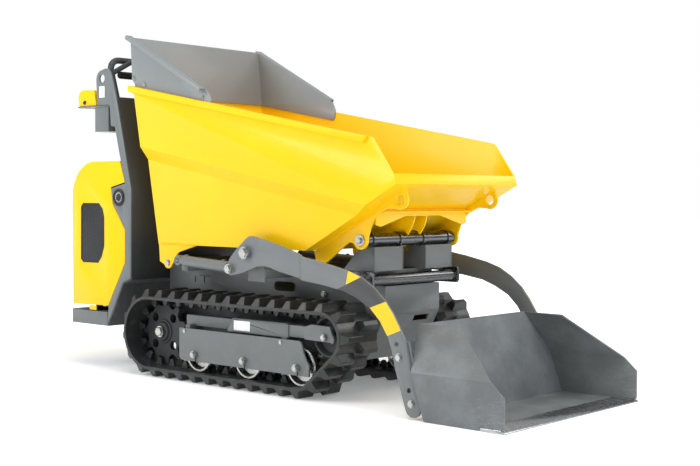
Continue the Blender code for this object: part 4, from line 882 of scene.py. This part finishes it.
def cylinder(names, anchor, end, y, barrel_r, rod_r, barrel_long, eye_half):
    """Barrel with its gland and port bosses, and a chromed rod with its eye."""
    start, tip = Vector(at_y(anchor, y)), Vector(at_y(end, y))
    along = (tip - start).normalized()
    eye_r = barrel_r * 0.92
    ring = [(eye_r * 0.5, -eye_half), (eye_r - 0.001, -eye_half), (eye_r, -eye_half + 0.001),
            (eye_r, eye_half - 0.001), (eye_r - 0.001, eye_half), (eye_r * 0.5, eye_half)]
    bore, base = rod_r + 0.0006, eye_r * 1.5
    b, top = barrel_r, barrel_long
    body = [(bore, base), (bore, top), (b - 0.003, top), (b, top - 0.002), (b, top - 0.018),
            (b - 0.0012, top - 0.019), (b - 0.0012, top - 0.022), (b - 0.0005, top - 0.023),
            (b - 0.0005, eye_r * 1.35), (b * 0.8, eye_r * 0.85), (bore, eye_r * 0.85)]
    side = along.cross(Vector((0, 1, 0))).normalized()
    side = -side if side.z < 0 else side
    port = [(0, 0), (0.0075, 0), (0.0075, 0.0055), (0.0065, 0.0065), (0, 0.0065)]
    ports = [(port, start + along * where + side * (b - 0.0030), side)
             for where in (eye_r * 1.9, top - 0.030)]
    barrel = turned(f"{names[0]}_steel", (body, start, along), (ring, start, (0, 1, 0)),
                    ([(0, eye_r * 0.8), (bore, eye_r * 0.8), (bore, base), (0, base)],
                     start, along), *ports)
    settle_for(barrel, "grey_paint", names[0])
    long = (tip - start).length
    shaft = [(0, base + 0.002), (rod_r, base + 0.002), (rod_r, long - eye_r * 1.35),
             (rod_r * 1.15, long - eye_r * 1.3), (rod_r * 1.15, long - eye_r * 0.7),
             (0, long - eye_r * 0.7)]
    rod = turned(f"{names[1]}_steel", (shaft, start, along), (ring, tip, (0, 1, 0)))
    settle_for(rod, "bright_steel", names[1])


class BARROW_OT_cylinders(bpy.types.Operator):
    """Tipping cylinder and the two lift cylinders"""
    bl_idname = "barrow.cylinders"
    bl_label = "Cylinders"

    def execute(self, context):
        cylinder(("tip_barrel", "tip_rod"), TIP_ANCHOR, TIP_LUG, 0.0, 0.025, 0.014, 0.272, 0.014)
        for side, s in SIDES:
            cylinder((f"lift_barrel_{side}", f"lift_rod_{side}"), LIFT_ANCHOR, ARM_LUG, s * LIFT_Y,
                     0.0200, 0.0095, 0.262, 0.0155)
        return {"FINISHED"}


# ---------------------------------------------------------------- controls
def fillet(points, radius, steps=8):
    """Round the inner corners of a path with arcs."""
    path = [Vector(points[0])]
    for before, corner, after in zip(points, points[1:], points[2:]):
        corner = Vector(corner)
        back = (Vector(before) - corner).normalized()
        ahead = (Vector(after) - corner).normalized()
        half = back.angle(ahead) / 2
        middle = corner + (back + ahead).normalized() * radius / math.sin(half)
        reach = radius / math.tan(half)
        first = (corner + back * reach - middle).normalized()
        last = (corner + ahead * reach - middle).normalized()
        path += [middle + first.slerp(last, i / steps) * radius for i in range(steps + 1)]
    return path + [Vector(points[-1])]


def tube_into(bm, points, radius, bend, segments=24):
    """Add a round tube along a path with rounded corners."""
    path = fillet(points, bend)
    normal = None
    rows = []
    for i, point in enumerate(path):
        ahead = (path[min(i + 1, len(path) - 1)] - path[max(i - 1, 0)]).normalized()
        if normal is None:
            normal = ahead.orthogonal().normalized()
        normal = (normal - ahead * normal.dot(ahead)).normalized()
        side = ahead.cross(normal)
        rows.append([bm.verts.new(point + (normal * math.cos(a) + side * math.sin(a)) * radius)
                     for a in (2 * math.pi * k / segments for k in range(segments))])
    for lower, upper in zip(rows, rows[1:]):
        for k in range(segments):
            bm.faces.new((lower[k - 1], lower[k], upper[k], upper[k - 1]))
    bm.faces.new(rows[0][::-1])
    bm.faces.new(rows[-1])


def boot_profile(radius, tall):
    """A rubber bellows boot, narrower at each fold upwards."""
    profile = [(0, 0), (radius, 0), (radius, 0.003)]
    for i in range(4):
        r = radius * (0.86 - 0.13 * i)
        z = 0.004 + (tall - 0.004) * i / 4
        profile += [(r, z + 0.001), (r + 0.0015, z + 0.0025), (r - 0.002, z + 0.0045)]
    return profile + [(radius * 0.30, tall), (0, tall)]


class BARROW_OT_controls(bpy.types.Operator):
    """Handle bar, levers with their boots, and the console's knob"""
    bl_idname = "barrow.controls"
    bl_label = "Controls"

    def execute(self, context):
        y, foot, top = 0.3092, (-0.7932, 1.0325), (-0.850, 1.204)
        bm = bmesh.new()
        tube_into(bm, [at_y(foot, -y), at_y(top, -y), at_y(top, y), at_y(foot, y)],
                  0.0125, 0.050)
        low, high = (-0.8315, 1.148), (-0.776, 1.198)       # guard bar over the levers
        tube_into(bm, [at_y(low, -y), at_y(high, -y + 0.060), at_y(high, y - 0.060),
                       at_y(low, y)], 0.0100, 0.040)
        bar = smooth(object_from(bm, "handle_bar_tube"))
        settle_for(bar, "dark_paint", "handle_bar")
        for side, s in SIDES:
            self.travel_lever(side, s)
        for name, across, tall in (("skip_lever", -0.060, 0.085), ("loader_lever", 0.010, 0.085),
                                   ("throttle_lever", 0.090, 0.055)):
            self.small_lever(name, across, tall)
        for side, s in SIDES:
            knob = turned(f"cover_knob_{side}",
                          ([(0, 0), (0.007, 0), (0.008, 0.001), (0.008, 0.003), (0.007, 0.004),
                            (0, 0.004)], (-0.994, s * 0.3148, 1.042), (0, s, 0)))
            settle(knob, "black_plastic", "chassis", "black_plastic")
        return {"FINISHED"}

    def travel_lever(self, side, s):
        node, x, y = f"drive_lever_{side}", -0.832, 0.190
        bm = bmesh.new()
        tube_into(bm, [(x, s * y, LEVER_Z + 0.004), (x + 0.010, s * y, 1.1445),
                       (x + 0.010, s * 0.276, 1.1445)], 0.0068, 0.022, 20)
        rod = smooth(object_from(bm, f"{node}_rod"))
        settle(rod, "zinc_plate", node, "zinc_plate", (node,))
        ribs = []
        for i in range(9):
            z = 0.006 + i * 0.007
            ribs += [(0.0142, z), (0.0142, z + 0.0045), (0.0131, z + 0.0052), (0.0131, z + 0.0065)]
        grip = turned(f"{node}_grip",
                      ([(0, 0), (0.012, 0), (0.0142, 0.004), *ribs, (0.012, 0.072), (0, 0.072)],
                       (x + 0.010, s * 0.208, 1.1445), (0, s, 0)),
                      (boot_profile(0.0125, 0.026), (x, s * y, LEVER_Z - 0.008), (0, 0, 1)))
        settle(grip, "black_plastic", node, "black_plastic")

    def small_lever(self, node, y, tall):
        x, top = -0.862, LEVER_Z + tall
        rod = turned(f"{node}_rod", ([(0, 0), (0.0045, 0), (0.0045, tall), (0, tall)],
                                     (x, y, LEVER_Z), (-0.0065, 0, tall)))
        settle(rod, "zinc_plate", node, "zinc_plate", (node,))
        ball = [(0.0128 * math.sin(a), -0.0128 * math.cos(a))
                for a in (math.pi * i / 16 for i in range(17))]
        knob = turned(f"{node}_knob", (ball, (x - 0.0065, y, top), (0, 0, 1)),
                      (boot_profile(0.0110, 0.024), (x, y, LEVER_Z - 0.008), (0, 0, 1)))
        settle(knob, "black_plastic", node, "black_plastic")


# ---------------------------------------------------------------- small fittings
def clipped(outline, point, direction):
    """The stretch of a line that lies inside a nearly convex outline, as two points."""
    hits = []
    for a, b in zip(outline, outline[1:] + outline[:1]):
        edge = Vector(b) - Vector(a)
        cross = direction.x * edge.y - direction.y * edge.x
        if abs(cross) < 1e-9:
            continue
        offset = Vector(a) - point
        along = (offset.x * edge.y - offset.y * edge.x) / cross
        share = (offset.x * direction.y - offset.y * direction.x) / cross
        if 0 <= share <= 1:
            hits.append(along)
    return (point + direction * min(hits), point + direction * max(hits)) if len(hits) > 1 else None


class BARROW_OT_grilles(bpy.types.Operator):
    """Diamond mesh in the hood's side openings, with a rubber edge"""
    bl_idname = "barrow.grilles"
    bl_label = "Hood grilles"

    pitch: length("Mesh pitch", "Distance between the strands", 0.0105)

    def execute(self, context):
        middle = Vector((-0.928, 0.527))
        for side, s in SIDES:
            lines = []
            for layer, slope in ((0.3268, 0.62), (0.3278, -0.62)):
                direction = Vector((1, slope)).normalized()
                across = Vector((-direction.y, direction.x))
                for i in range(-16, 17):
                    ends = clipped(GRILLE, middle + across * (i * self.pitch), direction)
                    if ends:
                        lines.append([(p.x, s * layer, p.y) for p in ends])
            grown(f"hood_mesh_{side}", "strand", lines_object(lines), "black_plastic", "hood",
                  "black_plastic", Radius=sizes().strand)
            rim = [[(u, s * 0.3278, v) for u, v in GRILLE + GRILLE[:1]]]
            grown(f"hood_mesh_edge_{side}", "strand", lines_object(rim), "black_plastic", "hood",
                  "black_plastic", Radius=0.0022)
        return {"FINISHED"}


class BARROW_OT_bolts(bpy.types.Operator):
    """Hexagon bolts and nuts"""
    bl_idname = "barrow.bolts"
    bl_label = "Bolts"

    def execute(self, context):
        chassis, skip, loader = [], [], []
        for _, s in SIDES:
            out = (0, s, 0)
            for x, z in ((-0.668, 1.119), (-0.603, 1.092), (-0.279, 1.030)):
                skip.append(((x, s * 0.3317, z), out, 0.80))
            skip.append(((-0.500, s * 0.3055, 0.4265), out, 1.15))
            for _, x in ROLLERS:
                chassis.append(((x, s * 0.3590, ROLLER_Z), out, 1.15))
            chassis.append((at_y(IDLER, s * 0.3460), out, 0.95))
            for x in GUARD_BOLTS:
                chassis.append(((x, s * GUARD_OUT, 0.184), out, 0.7))
            chassis.append((at_y(PIVOT, s * 0.3753), out, 1.9))
            chassis.append(((0.155, s * 0.158, 0.337), out, 1.0))
            loader.append((at_y(ARM_LUG, s * 0.374), out, 1.5))
            for x, z in ((0.677, 0.186), (0.728, 0.048)):
                loader.append(((x, s * 0.3858, z), out, 1.15))
        bolts("frame_bolts", "chassis", chassis)
        bolts("skip_bolts", "skip", skip)
        bolts("loader_bolts", "loader", loader)
        return {"FINISHED"}


class BARROW_OT_welds(bpy.types.Operator):
    """Weld beads along the joints of the shovel, the skip and the frame"""
    bl_idname = "barrow.welds"
    bl_label = "Welds"

    def execute(self, context):
        skip, loader, frame_lines = [], [], []
        for _, s in SIDES:
            ear = s * 0.2515
            skip.append([(0.230, ear, 0.508), (0.560, ear, 0.685)])
            skip.append([(-0.546, s * 0.3068, 0.4965), (-0.345, s * 0.3068, 0.4965)])
            loader.append([(0.765, s * 0.375, 0.030), (0.726, s * 0.375, 0.140)])
            frame_lines.append([(-0.062, s * 0.1485, 0.3915), (0.024, s * 0.1485, 0.3915)])
            frame_lines.append([(-0.500, s * 0.1485, 0.3715), (-0.440, s * 0.1485, 0.3715)])
            for y in (0.063, 0.210):
                frame_lines.append([(0.4295, s * y, 0.4315), (0.4295, s * y, 0.505)])
            frame_lines.append([(-0.120, s * 0.3300, 0.2455), (0.145, s * 0.3300, 0.2455)])
        welds("skip_welds", "skip", "yellow_paint", "yellow_paint", skip)
        welds("shovel_welds", "loader", "shovel", "grey_paint", loader)
        welds("frame_welds", "chassis", "grey_paint", "grey_paint", frame_lines)
        return {"FINISHED"}


class BARROW_OT_fittings(bpy.types.Operator):
    """Tail pipe outlet, hood latch tab and two blank labels"""
    bl_idname = "barrow.fittings"
    bl_label = "Fittings"

    def execute(self, context):
        outlet = at_y(EXHAUST, -PLATE_Y)
        for name, material, profile in (
                ("tail_pipe_ring", "black_plastic",
                 [(0.0215, -0.002), (0.0215, 0.0035), (0.0235, 0.0060), (0.0300, 0.0060),
                  (0.0330, 0.0040), (0.0335, 0.0003), (0.0268, 0.0003), (0.0262, -0.002)]),
                ("tail_pipe_mouth", "bright_steel",
                 [(0.0150, 0.0008), (0.0195, 0.0008), (0.0200, 0.0018), (0.0200, 0.0030),
                  (0.0160, 0.0030), (0.0150, 0.0020)]),
                ("tail_pipe_hole", "black_plastic",
                 [(0, 0.0006), (0.0148, 0.0006), (0.0148, 0.0012), (0, 0.0012)])):
            settle(turned(name, (profile, outlet, (0, -1, 0))), material, "chassis", material)
        for name, low, high, outline, edge, material, body, slot in (
                ("hood_latch_tab", -0.3260, -0.3278, rectangle(-0.950, -0.905, 0.2235, 0.2415),
                 0.0005, "yellow_paint", "hood", "yellow_paint"),
                ("rear_label", -PLATE_Y - 0.0003, -PLATE_Y - 0.0007,
                 rectangle(-0.882, -0.848, 1.056, 1.100), 0.0001, "label", "chassis",
                 "black_plastic"),
                ("beam_label", -PLATE_Y - 0.0003, -PLATE_Y - 0.0009,
                 rectangle(-0.116, -0.034, 0.2060, 0.2400), 0.0002, "label", "chassis",
                 "black_plastic")):
            settle(slab(name, low, high, outline, edge), material, body, slot)
        return {"FINISHED"}


# ---------------------------------------------------------------- stage
class BARROW_OT_stage(bpy.types.Operator):
    """Pale floor, soft studio light and the camera"""
    bl_idname = "barrow.stage"
    bl_label = "Stage"

    def execute(self, context):
        self.floor()
        self.lights()
        self.camera()
        return {"FINISHED"}

    def floor(self):
        bm = bmesh.new()
        bmesh.ops.create_grid(bm, x_segments=1, y_segments=1, size=30)
        floor = object_from(bm, "floor")
        mat, tree, shader = start_material("pale_floor", Roughness=0.85)
        shader.inputs["Base Color"].default_value = (0.92, 0.92, 0.92, 1)
        shader.inputs["Emission Color"].default_value = (1, 1, 1, 1)
        where = add(tree, "ShaderNodeTexCoord")
        away = add(tree, "ShaderNodeVectorMath", {0: where.outputs["Object"]}, operation="LENGTH")
        tree.links.new(ramp(tree, away.outputs["Value"], 0.8, 4.0, 0.20, 1.0),
                       shader.inputs["Emission Strength"])
        floor.data.materials.append(mat)
        floor.location.z = -0.0005

    def lights(self):
        scene = bpy.context.scene
        scene.view_settings.view_transform = "Standard"
        world = bpy.data.worlds.new("studio")
        world.use_nodes = True
        tree = world.node_tree
        fill = tree.nodes["Background"]
        fill.inputs["Color"].default_value = (0.94, 0.97, 1.0, 1)
        fill.inputs["Strength"].default_value = 0.42
        white = add(tree, "ShaderNodeBackground", {"Color": (1, 1, 1, 1), "Strength": 1.0})
        seen = add(tree, "ShaderNodeLightPath")
        both = add(tree, "ShaderNodeMixShader", {0: seen.outputs["Is Camera Ray"],
                                                 1: fill.outputs[0], 2: white.outputs[0]})
        tree.links.new(both.outputs[0], tree.nodes["World Output"].inputs["Surface"])
        scene.world = world
        for name, place, size, power in (("key", (-2.6, -4.2, 3.4), 2.6, 150),
                                         ("top", (0.6, -0.6, 4.6), 3.0, 115),
                                         ("edge", (2.6, 3.6, 3.0), 2.0, 60),
                                         ("front", (4.6, -0.8, 2.2), 1.6, 45)):
            light = bpy.data.lights.new(name, "AREA")
            light.size, light.energy = size, power
            lamp = linked(name, light)
            lamp.location = place
            aim = Vector(place) - Vector((0, 0, 0.5))
            lamp.rotation_euler = aim.to_track_quat("Z", "Y").to_euler()

    def camera(self):
        azimuth, elevation, roll = (math.radians(a) for a in (41.39967, 1.84081, 0.30340))
        back = Vector((math.sin(azimuth) * math.cos(elevation),
                       -math.cos(azimuth) * math.cos(elevation), math.sin(elevation)))
        right = Vector((math.cos(azimuth), math.sin(azimuth), 0))
        right = right * math.cos(roll) + back.cross(right) * math.sin(roll)
        up = back.cross(right)
        data = bpy.data.cameras.new("camera")
        data.lens, data.sensor_width = 64.203, 36
        eye = linked("camera", data)
        eye.matrix_world = Matrix.Translation((3.0875, -3.348, 0.69)) @ Matrix(
            (right, up, back)).transposed().to_4x4()
        bpy.context.scene.camera = eye


OPERATORS = (BARROW_OT_plates, BARROW_OT_sheets, BARROW_OT_turned, BARROW_OT_tracks,
             BARROW_OT_wheels, BARROW_OT_hinge, BARROW_OT_cylinders, BARROW_OT_controls,
             BARROW_OT_grilles, BARROW_OT_bolts, BARROW_OT_welds, BARROW_OT_fittings,
             BARROW_OT_stage)


class BARROW_PT_panel(bpy.types.Panel):
    """Sizes, colours and the pieces to build"""
    bl_idname = "BARROW_PT_panel"
    bl_label = "Tracked barrow"
    bl_space_type = "VIEW_3D"
    bl_region_type = "UI"
    bl_category = "Barrow"

    def draw(self, context):
        for group in (context.scene.barrow_colours, context.scene.barrow_sizes):
            for key in group.__annotations__:
                self.layout.prop(group, key)
        for operator in OPERATORS:
            self.layout.operator(operator.bl_idname)


CLASSES = (BarrowColours, BarrowSizes, *OPERATORS, BARROW_PT_panel)


def register():
    for cls in CLASSES:
        bpy.utils.register_class(cls)
    bpy.types.Scene.barrow_colours = PointerProperty(type=BarrowColours)
    bpy.types.Scene.barrow_sizes = PointerProperty(type=BarrowSizes)


def unregister():
    del bpy.types.Scene.barrow_sizes
    del bpy.types.Scene.barrow_colours
    for cls in reversed(CLASSES):
        bpy.utils.unregister_class(cls)


def main():
    register()
    MATERIALS.update(make_materials())
    TREES.update(bolts=bolt_tree(), bead=bead_tree(), strand=strand_tree())
    for operator in OPERATORS:
        group, name = operator.bl_idname.split(".")
        getattr(getattr(bpy.ops, group), name)()


if __name__ == "__main__":
    main()
